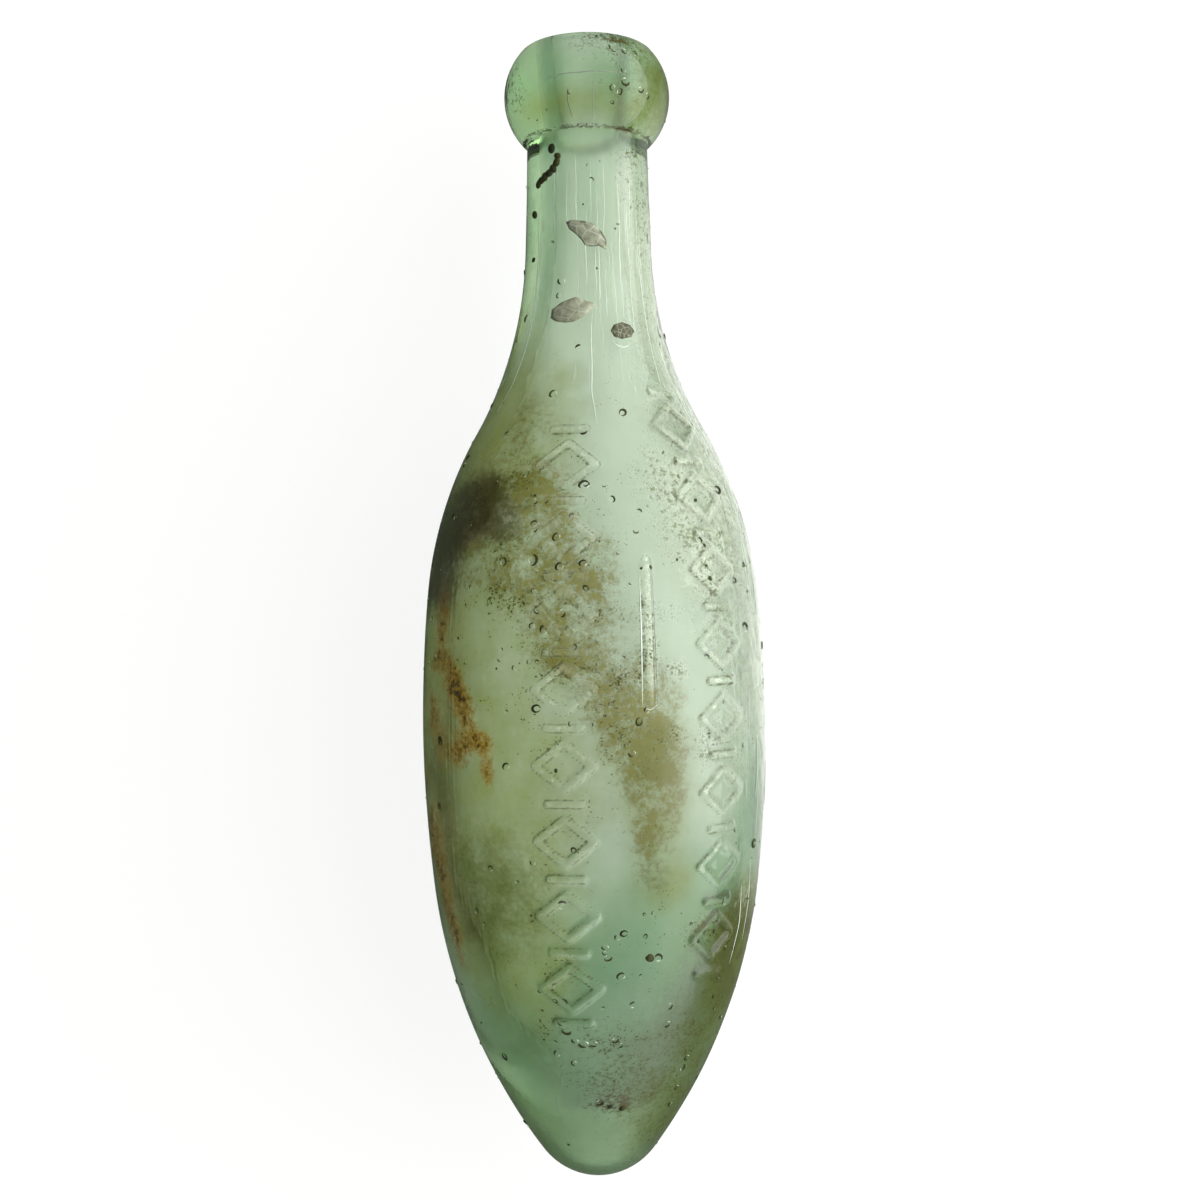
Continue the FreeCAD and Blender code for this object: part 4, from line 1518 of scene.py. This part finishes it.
FLAKES = (
    Flake(
        "flake_upper",
        ((-19.8, 192.5), (-14.5, 192.8), (-4.2, 192.5), (4.6, 191.9), (11.9, 190.4), (16.2, 188.8),
         (16.1, 186.7), (9.9, 187.5), (4.2, 187.3), (-2.8, 187.6), (-5.7, 188.7), (-11.6, 190.1),
         (-16.8, 191.0)),
        FlakeCrust((0.34, 0.37, 0.25), (0.07, 0.055, 0.025), (0.55, 0.60, 0.50), "scale_grey"),
    ),
    Flake(
        "flake_lower",
        ((-30.4, 173.3), (-30.0, 175.0), (-21.9, 176.4), (-10.2, 177.3), (-1.2, 176.3), (5.4, 175.8),
         (0.6, 174.3), (-5.2, 172.9), (-10.9, 172.2), (-17.9, 172.1), (-25.4, 172.5)),
        FlakeCrust((0.44, 0.47, 0.32), (0.26, 0.25, 0.14), (0.56, 0.60, 0.46), "scale_beige"),
    ),
    Flake(
        "open_blister",
        ((15.6, 170.3), (18.3, 171.6), (25.1, 172.2), (31.9, 171.7), (34.6, 170.6), (31.3, 169.3),
         (23.5, 168.7), (17.9, 169.1)),
        FlakeCrust((0.09, 0.09, 0.04), (0.03, 0.025, 0.01), (0.40, 0.44, 0.33), "blister_dirt", 900.0),
    ),
)


@dataclass(frozen=True)
class Studio:
    """Plain pale floor, soft light and the camera above the bottle.

    The pool is the place on the floor that glows in reflections, and pool_edge says how far
    from it the glow has ended and where it is full. Side_light and up_light each turn a part of
    the sky's direction, from the first number to the second, into a strength, from the third to
    the fourth.
    """

    floor_size: float = 4.0
    floor_colour: Triple = (0.16, 0.17, 0.15)
    floor_glow: float = 0.88
    pool: Triple = (0.09, 0.025, 0.0)
    pool_edge: Span = (0.12, 0.055)
    side_light: tuple[float, float, float, float] = (-0.6, 1.0, 0.08, 2.3)
    up_light: tuple[float, float, float, float] = (0.5, 0.9, 1.05, 0.12)
    lamp_place: Triple = (0.9, 0.25, 0.7)
    lamp_aim: Triple = (0.0, 0.0, 0.03)
    lamp_size: float = 1.4
    lamp_power: float = 15.0
    camera_place: Triple = (1.5, 2.5, 357.0)
    camera_roll: float = -0.7
    lens: float = 46.9

    def build(self) -> None:
        """Make the floor, the world, the lamp and the camera."""
        self._floor()
        self._world()
        self._lamp()
        self._camera()

    def _floor(self) -> None:
        """Lay the floor, which looks white, keeps the bottle's shadow and glows in reflections as a painted
        pool of light.
        """
        half = self.floor_size / 2
        corners = [(-half, -half, 0), (half, -half, 0), (half, half, 0), (-half, half, 0)]
        mesh = bpy.data.meshes.new("floor")
        mesh.from_pydata(corners, [], [(0, 1, 2, 3)])
        floor = add_object("floor", mesh)
        material, shade = new_material("floor_white")
        cloth = shade.node("ShaderNodeBsdfDiffuse", {"Color": (*self.floor_colour, 1)})
        rays = shade.node("ShaderNodeLightPath")
        place = shade.node("ShaderNodeTexCoord").outputs["Object"]
        # A painted pool of light: right of the bottle the floor glows, but only in reflections
        away = shade.node("ShaderNodeVectorMath", {0: place, 1: self.pool}, operation="DISTANCE")
        near = shade.ramp(away.outputs["Value"], *self.pool_edge)
        glossy, through, straight = (
            rays.outputs[name] for name in ("Is Glossy Ray", "Is Transmission Ray", "Is Camera Ray")
        )
        seen = shade.math("MULTIPLY_ADD", glossy, near, through)
        seen = shade.math("MULTIPLY_ADD", straight, self.floor_glow, seen)
        strength = shade.math("MINIMUM", seen, 1.0)
        glow = shade.node("ShaderNodeEmission", {"Color": (1, 1, 1, 1), "Strength": strength})
        both = shade.node("ShaderNodeAddShader", {0: cloth.outputs[0], 1: glow.outputs[0]})
        shade.node("ShaderNodeOutputMaterial", {"Surface": both.outputs[0]})
        mesh.materials.append(material)

    def _world(self) -> None:
        """Light the bottle softly, more from the right and less from overhead."""
        world = bpy.data.worlds.new("studio")
        world.use_nodes = True
        bpy.context.scene.world = world
        shade = Shade(world.node_tree)
        way = shade.node("ShaderNodeTexCoord").outputs["Generated"]
        parts = shade.node("ShaderNodeSeparateXYZ", {0: way}).outputs
        side, up = (
            shade.node("ShaderNodeMapRange", dict(enumerate((parts[axis], *levels)))).outputs[0]
            for axis, levels in (("X", self.side_light), ("Z", self.up_light))
        )
        level = shade.math("MULTIPLY", side, up)
        rays = shade.node("ShaderNodeLightPath")
        level = shade.blend(rays.outputs["Is Camera Ray"], level, 1.0)
        light = shade.node("ShaderNodeBackground", {"Color": (1, 1, 1, 1), "Strength": level})
        shade.node("ShaderNodeOutputWorld", {"Surface": light.outputs[0]})

    def _lamp(self) -> None:
        """Hang a square soft lamp that faces the bottle."""
        lamp = bpy.data.lights.new("key", "AREA")
        lamp.size = self.lamp_size
        lamp.energy = self.lamp_power
        hung = add_object("key", lamp)
        hung.location = self.lamp_place
        facing = Vector(self.lamp_aim) - Vector(self.lamp_place)
        hung.rotation_euler = facing.to_track_quat("-Z", "Y").to_euler()
        hung.visible_glossy = False

    def _camera(self) -> None:
        """Hang the camera straight above the bottle."""
        data = bpy.data.cameras.new("camera")
        data.lens = self.lens
        data.sensor_width = 36.0
        data.clip_start = 0.01
        data.clip_end = 20.0
        camera = add_object("camera", data)
        camera.location = Vector(self.camera_place) * MM
        camera.rotation_euler = (0, 0, math.radians(self.camera_roll))
        bpy.context.scene.camera = camera


def main() -> None:
    """Build the bottle and the studio, and report each piece."""
    logging.basicConfig(level=logging.INFO, format="%(name)s: %(message)s")
    bpy.context.scene.view_settings.view_transform = "Standard"
    blown = BlownBottle()
    bottle = blown.build()
    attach(bottle, "root")
    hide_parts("bottle")
    dressing = [Pits(blown).build(), Strands(blown).build(), *(flake.build(blown) for flake in FLAKES)]
    for piece in dressing:
        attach(piece, "root")
    for piece in (bottle, *dressing):
        LOG.info("%s: %d faces", piece.name, len(piece.data.polygons))
    Studio().build()


if __name__ == "__main__":
    main()
